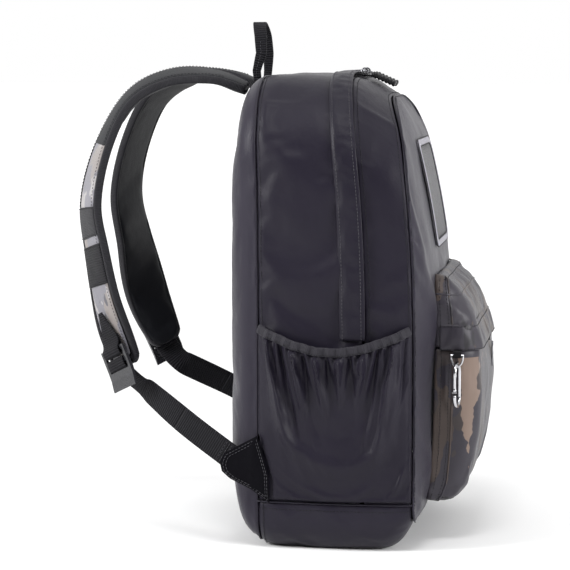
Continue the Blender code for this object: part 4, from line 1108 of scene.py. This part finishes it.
def strap_frame(distance, side="left"):
    """Origin, width and outward directions of a strap, given on the left; each side has its own twist."""
    tangent = STRAP.tangent(distance)
    across = Vector((1, 0, 0))
    across = (across - tangent * across.dot(tangent)).normalized()
    normal = across.cross(tangent)
    twist = math.radians(np.interp(distance, *TWISTS[side]))
    width = across * math.cos(twist) + normal * math.sin(twist)
    outward = normal * math.cos(twist) - across * math.sin(twist)
    return STRAP.at(distance), width, outward


def strap_half(distance):
    """Half width of the strap: narrower at the root, tapering and rounded at the end."""
    left = STRAP_END - distance
    root = 0.72 + 0.28 * min(max((distance - 0.004) / 0.05, 0.0), 1.0)
    if left > 0.130:
        return STRAP_HALF * root
    share = max(left / 0.130, 0.0) ** 0.75
    return (0.016 + 0.017 * share) * math.sqrt(min(max(left, 0.0004) / 0.007, 1.0)) ** 0.5


def mirror(grid):
    return grid * np.array([-1, 1, 1])


def strap_grid(side, start, end, rows, cols, low, high, inset):
    """Points over the strap's outer side, following its crown; low and high are lifts at edge and middle."""
    grid = []
    for s in np.linspace(start, end, rows):
        origin, width, outward = strap_frame(s, side)
        half = strap_half(s) - inset
        grid.append([tuple(origin + width * t * half + outward * (low + (high - low) * (1 - abs(t) ** 3)))
                     for t in np.linspace(-1, 1, cols)])
    return np.array(grid)


PAD_POINTS = 26  # round the strap's padding


def pad_loop(s, side):
    """A ring round the padding: almost flat outside, full on the wearer's side, thinner at the end."""
    origin, width, outward = strap_frame(s, side)
    half = strap_half(s) - 0.0008
    taper = min(1.0, math.sqrt(max(STRAP_END - s, 0) / 0.012)) if s > STRAP_END - 0.012 else 1.0
    loop = []
    for a in np.linspace(0, 2 * math.pi, PAD_POINTS, endpoint=False):
        c, k = math.cos(a), math.sin(a)
        t = math.copysign(abs(c) ** 0.55, c)
        thick = (0.0012 if k > 0 else 0.0052) + 0.0004
        rise = math.copysign(abs(k) ** 0.55, k) * thick * (0.55 + 0.45 * taper)
        loop.append(tuple(origin + width * (t * half) + outward * (-0.0030 + rise)))
    return loop


def make_strap_pads():
    """The foam of both straps, sewn along its edges."""
    distances = np.linspace(0.004, STRAP_END - 0.0006, 74)
    left, right = (np.array([pad_loop(s, side) for s in distances]) for side in ("left", "right"))
    for side, grid, x in (("left", left, -1), ("right", mirror(right)[:, ::-1], 1)):
        pins = np.zeros(grid.shape[:2], bool)
        angle = np.abs(np.cos(np.linspace(0, 2 * math.pi, PAD_POINTS, endpoint=False)))
        pins[:, angle > 0.93] = True
        pins[:2], pins[-2:] = True, True
        panel = Panel(f"strap_padding_{side}", grid, (0.1 * x, 0.16, 0.30), STRAP_MESH, "padded_mesh",
                      [f"strap_pad_{side}", f"strap_yoke_{side}"], closed=True, seam=0.0, fold=0.0, pins=pins,
                      slack=0.015, pressure=1.5, gravity=0.0, cap=0.0016, thickness=0.0012,
                      blend=("bag_body", f"strap_{side}", STRAP_BLEND))
        solve = np.cross(grid[1:-1, 1] - grid[1:-1, 0], grid[2:, 0] - grid[:-2, 0])
        away = np.sum(solve * (grid[1:-1, 0] - grid[1:-1].mean(1)))
        if (away > 0) != bool(panel.agrees):
            panel.obj.data.flip_normals()


def strap_blend(side):
    return ("bag_body", f"strap_{side}", STRAP_BLEND)


def both(maker):
    """Make a left piece and its mirror image."""
    for side, x in (("left", 1), ("right", -1)):
        maker(side, np.array([x, 1, 1]))


def sheet_piece(name, grid, mat, blend, nodes=(), thickness=0.001, body=None, detail=1, outward=None):
    """A directly modelled sheet whose grid sense is set by an outward point or direction."""
    normals, agrees = grid_normals(grid, (0, 0, 0))
    middle = normals[len(grid) // 2, grid.shape[1] // 2] * (1 if agrees else -1)
    obj = dress(grid_object(name, grid, float(np.dot(middle, outward)) > 0), mat, nodes)
    thicken(obj, thickness, detail)
    return attach(obj, body, blend)


def strap_out(distance, side):
    return np.array(strap_frame(distance, side)[2])


def make_strap_faces(side, flip):
    """Printed face, plain root, the two bands, bindings and stitching of a strap."""
    blend = strap_blend(side)
    face = strap_grid(side, 0.186, STRAP_END - 0.010, 80, 14, 0.0012, 0.0026, 0.0052)
    sheet_piece(f"strap_print_{side}", face * flip, STRAP_PRINT, blend, [f"strap_face_{side}"],
                0.0010, outward=strap_out(0.215, side) * flip)
    root = strap_grid(side, 0.006, 0.190, 60, 14, 0.0013, 0.0029, 0.0050)
    sheet_piece(f"strap_root_{side}", root * flip, STRAP_MESH, blend, (), 0.0010,
                outward=strap_out(0.06, side) * flip)
    band = strap_grid(side, 0.254, 0.285, 10, 14, 0.0022, 0.0038, 0.0020)
    sheet_piece(f"strap_band_smooth_{side}", band * flip, TRIM, blend, [f"strap_band_upper_{side}"],
                0.0014, outward=strap_out(0.27, side) * flip)
    band = strap_grid(side, 0.293, 0.334, 14, 14, 0.0024, 0.0042, 0.0020)
    sheet_piece(f"strap_band_ribbed_{side}", band * flip, WEB, blend, [f"strap_band_lower_{side}"],
                0.0016, outward=strap_out(0.31, side) * flip)
    lines = []
    for edge in (-1, 1):
        path, up = [], []
        for s in np.linspace(0.006, STRAP_END - 0.001, 120):
            origin, width, outward = strap_frame(s, side)
            path.append(tuple(origin + width * edge * (strap_half(s) - 0.0016) + outward * -0.0026))
            up.append(tuple(outward))
        path, up = np.array(path) * flip, np.array(up) * flip
        sweep(f"strap_binding_{'inner' if edge > 0 else 'outer'}_{side}", path, up,
              ellipse(0.0026, 0.0042, 0.7, 12), TRIM, None, blend)
        path = []
        for s in np.linspace(0.03, STRAP_END - 0.016, 120):
            origin, width, outward = strap_frame(s, side)
            spot = origin + width * edge * (strap_half(s) - 0.0068) + outward * 0.0024
            path.append(tuple(spot) + tuple(outward))
        lines.append(np.array(path) * np.tile(flip, 2))
    end, up = [], []
    for a in np.linspace(-1, 1, 24):
        origin, width, outward = strap_frame(STRAP_END - 0.0030 - 0.006 * a * a, side)
        end.append(tuple(origin + width * a * 0.0175 + outward * -0.0026))
        up.append(tuple(outward))
    sweep(f"strap_end_binding_{side}", np.array(end) * flip, np.array(up) * flip,
          ellipse(0.0030, 0.0044, 0.7, 12), TRIM, None, blend)
    for s in (0.2555, 0.2835, 0.2945, 0.3325):
        grid = strap_grid(side, s, s + 0.001, 2, 16, 0.0030, 0.0046, 0.0045)
        out = np.array([strap_out(s, side)] * 16)
        lines.append(np.concatenate([grid[0], out], 1) * np.tile(flip, 2))
    stitches(f"strap_stitching_{side}", lines, None, blend, mat=THREAD)


def lock_place():
    """Frame of the ladder lock on the strap: down the strap, outward, across."""
    origin, width, outward = strap_frame(LOCK_AT)
    down = outward.cross(width).normalized()
    if down.dot(STRAP.tangent(LOCK_AT)) < 0:
        down = -down
    side = down.cross(outward).normalized()
    turn = Matrix((down, outward, side)).transposed().to_4x4()
    return Matrix.Translation(origin) @ turn


# Side views of the tab that holds the ladder lock and of the webbing through it, as (down, outward) from the
# lock's middle: the tab folds over the upper bar, the webbing comes up behind and over the lower one.
TAB_PATH = ((-0.014, 0.0048), (-0.006, 0.0048), (0.0000, 0.0054), (0.0054, 0.0056), (0.0062, 0.0090),
            (0.0050, 0.0124), (-0.0010, 0.0124), (-0.0060, 0.0088), (-0.0140, 0.0066), (-0.0260, 0.0060),
            (-0.0400, 0.0058))
WRAP_PATH = ((0.0240, 0.0040), (0.0140, 0.0040), (0.0098, 0.0060), (0.0092, 0.0112), (0.0112, 0.0124),
             (0.0178, 0.0124), (0.0200, 0.0104), (0.0212, 0.0066), (0.0248, 0.0056), (0.0310, 0.0036))


def in_lock(points):
    """Points of a path given in the lock's middle plane as (down, outward)."""
    place = lock_place()
    return np.array([tuple(place @ Vector((s, n, 0.0))) for s, n in points])


def lock_normals(path):
    """Directions square to a path in the ladder lock's own plane."""
    place = lock_place().to_3x3()
    side = np.array(place @ Vector((0, 0, 1)))
    tangent = np.gradient(path, axis=0)
    up = np.cross(side, tangent)
    return up / np.linalg.norm(up, axis=1, keepdims=True)


def webbing_path():
    """From behind the ladder lock to the anchor, with the width direction turning on the way."""
    place = lock_place()
    points = [place @ Vector((s, n, 0.0)) for s, n in ((0.0240, 0.0040), (0.0290, 0.0022), (0.0350, -0.0020),
                                                       (0.0424, -0.0092))]
    end = STRAP_ANCHOR
    middle = Vector((-0.127, 0.140, 0.118))
    start = points[-1]
    curve = [tuple(p) for p in points[:-1]]
    route = Route((start, middle, end))
    length = route.marks[-1]
    first = place.to_3x3() @ Vector((0, 0, 1))
    last = Vector((0.0, 0.53, -0.85))
    if first.dot(last) < 0:
        last = -last
    widths = [first] * 3
    for s in np.linspace(0, length - 0.004, 40):
        turn = min(s / (0.55 * length), 1.0)
        curve.append(tuple(route.at(s)))
        widths.append(first.lerp(last, turn * turn * (3 - 2 * turn)).normalized())
    curve = np.array(curve)
    for _ in range(4):
        curve[1:-1] = (curve[:-2] + 2 * curve[1:-1] + curve[2:]) / 4
    tangent = np.gradient(curve, axis=0)
    up = np.cross(np.array([tuple(w) for w in widths]), tangent)
    up /= np.linalg.norm(up, axis=1, keepdims=True)
    return curve, up


def make_strap_hardware(side, flip):
    """The tab, the webbing through the ladder lock and its run to the anchor."""
    strap, buckle = f"strap_{side}", f"buckle_{side}"
    smooth = resample([tuple(p) for p in curve_points(in_lock(TAB_PATH), 5)], 70)
    widths = np.interp(np.linspace(0, 1, len(smooth)), [0, 0.5, 0.58, 1.0], [0.95, 1.0, 1.0, 0.22])
    sweep(f"buckle_tab_web_{side}", smooth * flip, lock_normals(smooth) * flip, slab(0.0126, 0.0006), WEB,
          strap, None, [f"buckle_tab_{side}"],
          sizes=np.stack([widths, np.ones(len(smooth))], 1), detail=0)
    wrap = np.array([tuple(p) for p in curve_points(in_lock(WRAP_PATH), 4)])
    sweep(f"lock_webbing_{side}", wrap * flip, lock_normals(wrap) * flip, slab(0.0125, 0.0006), WEB,
          buckle, None, [f"webbing_wrap_{side}"], detail=0)
    curve, up = webbing_path()
    third = len(curve) // 2
    joint = curve[5] * flip
    upper = curve[:third + 1] * flip
    anchor_blend = ("bag_body", strap, ((0, 0.094, 0), (0, 0.128, 0)))
    lower = curve[third:] * flip
    far = curve[10] * flip
    sweep(f"webbing_upper_{side}", upper, up[:third + 1] * flip, slab(0.0125, 0.0006), WEB, None,
          (buckle, strap, (tuple(joint), tuple(far))), [f"strap_webbing_{side}"], detail=0)
    sweep(f"webbing_lower_{side}", lower, up[third:] * flip, slab(0.0125, 0.0006), WEB, None,
          anchor_blend, detail=0)
    width = np.cross(up, np.gradient(curve, axis=0))
    width /= np.linalg.norm(width, axis=1, keepdims=True)
    lines = []
    for k in (-2, -3, -4, -5):
        for face in (1, -1):
            line = [np.concatenate([curve[k] + width[k] * t + face * up[k] * 0.0007, face * up[k]])
                    for t in np.linspace(-0.011, 0.011, 8)]
            lines.append(np.array(line) * np.tile(flip, 2))
    stitches(f"anchor_stitching_{side}", lines, None, anchor_blend, mat=LIGHT_THREAD, radius=0.0004)
    hem = []
    place = lock_place()
    for s, n in ((0.0268, 0.0056), (0.0292, 0.0049)):
        hem.append(np.array([tuple(place @ Vector((s, n, t))) + tuple(place.to_3x3() @ Vector((0.6, 0.8, 0)))
                             for t in np.linspace(-0.011, 0.011, 8)]) * np.tile(flip, 2))
    stitches(f"hem_end_stitching_{side}", hem, buckle, mat=LIGHT_THREAD)


def make_anchor(side, flip):
    """A folded triangle of webbing-weight cloth sewn into the rear seam."""
    corners = [(0.0660, 0.1130), (0.0550, 0.0740), (0.0540, 0.0470), (0.0720, 0.0600), (0.0930, 0.0700),
               (0.1010, 0.0770), (0.1030, 0.0860), (0.0990, 0.0950), (0.0880, 0.1010)]
    shape = resample(corners, 48, True)
    middle = shape.mean(0)
    rows = []
    for share in (1.0, 0.985, 0.94, 0.80, 0.55, 0.25, 0.05):
        ring = middle + (shape - middle) * share
        ridge = np.exp(-((ring[:, 0] - 0.070) / 0.004) ** 2)  # over the webbing's sewn-in end
        puff = 0.0011 * (1 - share ** 6) + 0.0012 * ridge * (share < 0.97)
        rows.append(np.stack([-0.1536 - puff, ring[:, 0], ring[:, 1]], 1))
    grid = np.array(rows) * flip
    _, agrees = grid_normals(grid, (0, 0.08, 0.08), True)
    obj = dress(grid_object(f"anchor_cloth_{side}", grid, agrees, True, (False, True)), ANCHOR_CLOTH,
                [f"strap_anchor_{side}"])
    thicken(obj, 0.0022)
    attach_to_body(obj, "bag_body")
    lines = []
    for share in (0.90, 0.80):
        ring = middle + (shape - middle) * share
        line = np.stack([np.full(48, -0.1536 - 0.0013), ring[:, 0], ring[:, 1]], 1)
        line = np.concatenate([line, np.tile([-1.0, 0, 0], (48, 1))], 1)
        lines.append(line * np.tile(flip, 2))
    stitches(f"triangle_stitching_{side}", lines, "bag_body", mat=LIGHT_THREAD, radius=0.0003)


# ---------------------------------------------------------------- haul loop, zip and hardware


HAUL_BASE = Vector((0.0, 0.0865, 0.450))  # on the seam, midway between the loop's legs
HAUL_BLEND = ("bag_body", "carry_loop", ((0, 0, 0.456), (0, 0, 0.468)))


def make_haul_loop():
    """One webbing bent over at the top, its faces turned outward and its legs crossing a little."""
    reach = 0.0185
    points = [(-reach * 0.9, -0.001, 0.0), (-reach, 0.000, 0.014), (-reach * 0.98, 0.0005, 0.030),
              (-reach * 0.80, 0.001, 0.050), (-reach * 0.35, 0.0012, 0.0605), (0, 0.001, 0.0620),
              (reach * 0.35, 0.0008, 0.0605), (reach * 0.80, 0.000, 0.050), (reach * 0.98, -0.001, 0.030),
              (reach, -0.001, 0.014), (reach * 0.9, -0.001, 0.0)]
    path = resample([tuple(HAUL_BASE + Vector(p)) for p in curve_points(points, 8)], 90)
    share = np.linspace(-1, 1, 90)
    path[:, 1] += np.interp(share, [-1, -0.8, -0.55, -0.3, 0, 0.3, 0.55, 0.8, 1],
                            [0.0022, 0.0026, -0.0026, -0.0020, 0.0015, -0.0010, -0.0024, -0.0020, -0.0010])
    up = path - np.array(HAUL_BASE + Vector((0, 0, 0.032)))
    up[:, 1] = 0
    half = np.interp(np.abs(share), [0, 0.3, 0.6, 0.8, 1.0], [0.0066, 0.0064, 0.0052, 0.0042, 0.0038])
    thick = np.interp(np.abs(share), [0, 0.3, 0.5, 1.0], [1.0, 1.3, 1.7, 1.6])
    sizes = np.stack([half / 0.0068, thick], 1)
    sweep("haul_webbing", path, up, slab(0.0068, 0.0013), WEB, None,
          HAUL_BLEND, ["haul_loop"], sizes=sizes, detail=0)
    lines = []
    for sign in (-1, 1):
        keep = path[share * sign > 0.35] if sign > 0 else path[share < -0.35]
        out = np.tile([sign * 1.0, 0, 0.0], (len(keep), 1))
        lines.append(np.concatenate([keep + out * 0.0022, out], 1))
    stitches("haul_stitching", lines, None, HAUL_BLEND, mat=LIGHT_THREAD, radius=0.0003)


def make_pulls():
    """Moulded grips and their eyes on the main sliders, and the front pocket's flat pull."""
    for side, sign in (("left", -1), ("right", 1)):
        x = sign * 0.010
        hinge = np.array([x, -0.0208, 0.4646])
        down = np.array([0, -math.cos(math.radians(24)), -math.sin(math.radians(24))])
        up = np.array([0, down[2], -down[1]])
        at = np.linspace(0.0085, 0.0340, 60)
        path = hinge + np.outer(at, down)
        ribs = 1 + 0.16 * np.cos(np.linspace(0, 2 * math.pi * 6.5, 60))
        ends = np.minimum(1, np.minimum((at - 0.0079) / 0.0016, (0.0346 - at) / 0.0014)) ** 0.5
        sizes = np.stack([ends * (0.92 + 0.08 * ribs), ribs * ends], 1)
        sweep(f"pull_grip_{side}", path, up, ellipse(0.0046, 0.0031, 0.6, 16), RUBBER,
              f"zip_pull_{side}", nodes=[f"main_pull_{side}"], sizes=sizes)
        loop = [hinge + down * (0.0046 + 0.0050 * math.cos(a)) + np.array([0.0024 * math.sin(a), 0, 0])
                for a in np.linspace(0, 2 * math.pi, 24, endpoint=False)]
        sweep(f"pull_eye_{side}", loop, up, ellipse(0.0007, 0.0006, 1.0, 8), DARK_METAL,
              f"zip_pull_{side}", closed=True, detail=1)
    face = -0.1460 - 0.0020
    path = [(0.045, face - 0.0002 * math.sin(i), z) for i, z in enumerate(np.linspace(0.1848, 0.1582, 16))]
    widths = np.interp(np.linspace(0, 1, 16), [0, 0.08, 0.3, 0.85, 1.0], [0.55, 0.8, 1.0, 1.0, 0.6])
    sweep("pocket_pull_tab", path, (0, -1, 0), ellipse(0.0036, 0.0009, 0.5, 14), DARK_METAL,
          "pocket_zip_pull", nodes=["pocket_pull"], sizes=np.stack([widths, np.ones(16)], 1))


def make_zips():
    """Zip tapes under the storm flap, and the coils of both zips."""
    for name, start, end, blend in (("rear", -0.0290, -0.0366, None), ("front", -0.0374, -0.0450, LID)):
        grid = np.array([arch(y0, ZIP_END, 0.0031, 160) for y0 in np.linspace(start, end, 4)])
        sheet_piece(f"zip_tape_{name}_knit", grid, ZIP_TAPE, blend, [f"zip_tape_{name}"], 0.0007,
                    "bag_body" if blend is None else None, 0, (0, 0, 1))
    lines = [np.concatenate([arch(y0, ZIP_END, 0.0030, 400), np.zeros((400, 3))], 1) for y0 in
             (ZIP_LINE + 0.0010, ZIP_LINE - 0.0010)]
    for line in lines:
        out = line[:, :3] - np.array([0, 0, 0.22])
        out[:, 1] = 0
        line[:, 3:] = out / np.linalg.norm(out, axis=1, keepdims=True)
    stitches("zip_coil_rear", [lines[0]], "bag_body", pitch=0.0015, length=0.0026, radius=0.00055, lift=0.0,
             mat=COIL, across=True)
    stitches("zip_coil_front", [lines[1]], None, LID, pitch=0.0015, length=0.0026, radius=0.00055, lift=0.0,
             mat=COIL, across=True)
    profile = np.array([(x, -0.1415, 0.1950, 0, -1, 0) for x in np.linspace(-0.092, 0.092, 80)])
    stitches("pocket_zip_coil", [profile], "bag_body", pitch=0.0015, length=0.0030, radius=0.00055,
             mat=COIL, across=True)


def carabiner_point(out, down, side=0.0):
    """A point in the plane the carabiner hangs in, from the middle of the D-ring."""
    turn = math.radians(10)
    along = Vector((-math.cos(turn), math.sin(turn), 0.0))
    normal = along.cross(Vector((0, 0, 1)))
    return tuple(Vector((-0.1125, -0.124, 0.1786)) + along * out + Vector((0, 0, -down)) + normal * side)


def make_carabiner():
    """The hook, and the gate with its screw sleeve."""
    half, top, length, drop = 0.0091, 0.0032, 0.0420, 0.0240
    arc = -top + half
    low = arc + length - 2 * half
    path = [carabiner_point(half, arc + 0.0016)]
    path += [carabiner_point(half * math.cos(a), arc - half * math.sin(a)) for a in np.linspace(0, math.pi, 18)]
    path += [carabiner_point(half * math.cos(a), low - half * math.sin(a))
             for a in np.linspace(math.pi, 2 * math.pi, 18)]
    path.append(carabiner_point(half, drop + 0.0020))
    normal = Vector(carabiner_point(0, 0, 1.0)) - Vector(carabiner_point(0, 0, 0.0))
    sweep("carabiner_hook", path, tuple(normal), ellipse(0.0019, 0.0019, 1.0, 12), CHROME,
          "carabiner", nodes=["carabiner_body"])
    levels = ((0.0011, 0.85), (0.0020, 1.25), (0.0034, 1.30), (0.0042, 1.0), (0.0100, 0.95), (0.0150, 0.95),
              (0.0163, 1.25), (0.0180, 1.30), (0.0190, 0.9))
    at = np.linspace(0, 1, 40)
    downs = np.interp(at, np.linspace(0, 1, 9), [drop - 0.0006 - k[0] + 0.0011 for k in levels])
    sizes = np.interp(at, np.linspace(0, 1, 9), [k[1] for k in levels])
    path = [carabiner_point(half, d) for d in downs]
    sweep("carabiner_sleeve", path, tuple(normal), ellipse(0.0016, 0.0016, 1.0, 12), CHROME,
          "gate", nodes=["carabiner_gate"], sizes=np.stack([sizes, sizes], 1))


def make_seams():
    """Stitch rows beside the seams, and the welts that stand in them."""
    rear, front, base, panel, flap = (PANELS[f"{n}_cloth"] for n in ("rear_gusset", "front_gusset", "base",
                                                                     "front_panel", "storm_flap"))
    stitches("rear_stitching", [rear.line(row=0.045), base.line(col=0.018), base.line(col=0.982),
                                base.line(row=0.04)], "bag_body")
    stitches("flap_stitching", [flap.line(row=0.16), flap.line(row=0.86)], "bag_body", mat=LIGHT_THREAD)
    stitches("front_stitching", [front.line(row=0.13), front.line(row=0.92)], None, LID)
    stitches("panel_stitching", [panel.line(col=0.012), panel.line(col=0.988)], None, LID)
    seam = arch(FRONT_SEAM - 0.0006, BOOT_TOP, 0.0008, 150)
    out = seam - np.array([0, 0.05, 0.22])
    sweep("front_welt", seam, out, ellipse(0.0011, 0.0011, 1.0, 8), CLOTH, None, LID, detail=0)
    seam = outline(BACK_SEAM, 200, 0.0006)
    out = seam - np.array([0, 0.067, 0.22])
    sweep("back_welt", seam, out, ellipse(0.0010, 0.0010, 1.0, 8), CLOTH, "bag_body", closed=True,
          detail=0)
    for x in (-1, 1):
        line = np.array([(x * section(y0)[0] + x * 0.0002, y0, BOOT_TOP)
                         for y0 in np.linspace(BACK_SEAM, FRONT_SEAM, 60)])
        sweep(f"boot_welt_{'left' if x < 0 else 'right'}", line, (x, 0, 0), ellipse(0.0008, 0.0008, 1.0, 6),
              BOOT_CLOTH, "bag_body", detail=0)


# ---------------------------------------------------------------- stage


def make_stage():
    """A pale floor, a white surround that darkens behind the camera, and three soft lights."""
    floor = bpy.data.meshes.new("floor")
    size = 30.0
    corners = [(x * size, y * size, 0) for x, y in ((-1, -1), (1, -1), (1, 1), (-1, 1))]
    floor.from_pydata(corners, [], [(0, 1, 2, 3)])
    paint = Paint("floor_paper", 0.9, specular=0.1)
    place = paint.add("ShaderNodeTexCoord").outputs["Object"]
    paint.colour(paint.mix(paint.noise(1.5, 2, place), (0.86, 0.86, 0.86), (0.88, 0.88, 0.88)))
    # Away from the bag the paper is blown out to white, as in a studio photograph.
    away = paint.add("ShaderNodeVectorMath", operation="LENGTH")
    paint.link(place, away.inputs[0])
    glow = paint.add("ShaderNodeMapRange", interpolation_type="SMOOTHSTEP")
    glow.inputs["From Min"].default_value, glow.inputs["From Max"].default_value = 0.6, 3.0
    glow.inputs["To Min"].default_value, glow.inputs["To Max"].default_value = 0.0, 0.4
    paint.link(away.outputs["Value"], glow.inputs["Value"])
    paint.link(glow.outputs["Result"], paint.shader.inputs["Emission Strength"])
    paint.shader.inputs["Emission Color"].default_value = (1.0, 1.0, 1.0, 1.0)
    floor.materials.append(paint.mat)
    ground = bpy.data.objects.new("floor", floor)
    bpy.context.scene.collection.objects.link(ground)
    world = bpy.data.worlds.new("studio")
    world.use_nodes = True
    tree = world.node_tree
    around = tree.nodes.new("ShaderNodeTexCoord")
    split = tree.nodes.new("ShaderNodeSeparateXYZ")
    fade = tree.nodes.new("ShaderNodeMapRange")
    fade.interpolation_type = "SMOOTHSTEP"
    fade.inputs["From Min"].default_value, fade.inputs["From Max"].default_value = -0.98, -0.15
    fade.inputs["To Min"].default_value, fade.inputs["To Max"].default_value = 0.04, 1.0
    tree.links.new(around.outputs["Generated"], split.inputs[0])
    tree.links.new(split.outputs["X"], fade.inputs["Value"])
    tree.links.new(fade.outputs["Result"], tree.nodes["Background"].inputs["Color"])
    bpy.context.scene.world = world
    target = Vector((0, 0.03, 0.25))
    for name, place, size, power in (
            ("key", (-1.0, 1.6, 1.1), 0.6, 36.0), ("front_fill", (-0.8, -1.8, 0.8), 0.6, 28.0),
            ("top", (-0.9, -0.1, 1.8), 0.5, 10.0)):
        light = bpy.data.lights.new(name, "AREA")
        light.energy, light.size = power, size
        lamp = bpy.data.objects.new(name, light)
        lamp.location = place
        lamp.rotation_mode = "QUATERNION"
        lamp.rotation_quaternion = (target - Vector(place)).to_track_quat("-Z", "Y")
        bpy.context.scene.collection.objects.link(lamp)


def make_camera():
    """A long lens 2.3 m away, 9 degrees forward of a square side view and 6 degrees up."""
    turn, rise, distance = math.radians(9), math.radians(6), 2.300
    back = Vector((-math.cos(turn) * math.cos(rise), -math.sin(turn) * math.cos(rise), math.sin(rise)))
    right = Vector((math.sin(turn), -math.cos(turn), 0))
    camera = bpy.data.cameras.new("camera")
    camera.sensor_width, camera.lens = 36.0, 140.905
    camera.clip_end = 100.0
    lens = bpy.data.objects.new("camera", camera)
    place = Matrix((right, right.cross(-back), back)).transposed().to_4x4()
    place.translation = Vector((0, 0.063, 0.244)) + back * distance
    lens.matrix_world = place
    bpy.context.scene.collection.objects.link(lens)
    bpy.context.scene.camera = lens


make_stage()
make_camera()
bpy.context.scene.view_settings.view_transform = "Standard"

# The sheets and pads are made first and settled together, since the trim is laid on the settled cloth.

make_shell()
make_storm_flap()
make_front_pocket()
make_side_pockets()
make_strap_pads()
settle()
close_back()
make_patch()
pocket_trim()
make_hems()
both(make_strap_faces)
both(make_strap_hardware)
both(make_anchor)
make_haul_loop()
make_pulls()
make_zips()
make_carabiner()
make_seams()

for node_name, node_mat, node_bevel in (
        ("ladder_lock_left", ACETAL, 0.0007), ("ladder_lock_right", ACETAL, 0.0007),
        ("main_slider_left", DARK_METAL, 0.0), ("main_slider_right", DARK_METAL, 0.0),
        ("pocket_slider", DARK_METAL, 0.0004), ("d_ring", CHROME, 0.0), ("gate_pin", CHROME, 0.0),
        ("ring_tab", WEB, 0.0),
        ("front_pocket_zip", ZIP_TAPE, 0.0), ("base_board", BOARD, 0.0),
        ("back_lining", LINING_CLOTH, 0.0)):
    paint_node(node_name, node_mat, node_bevel)
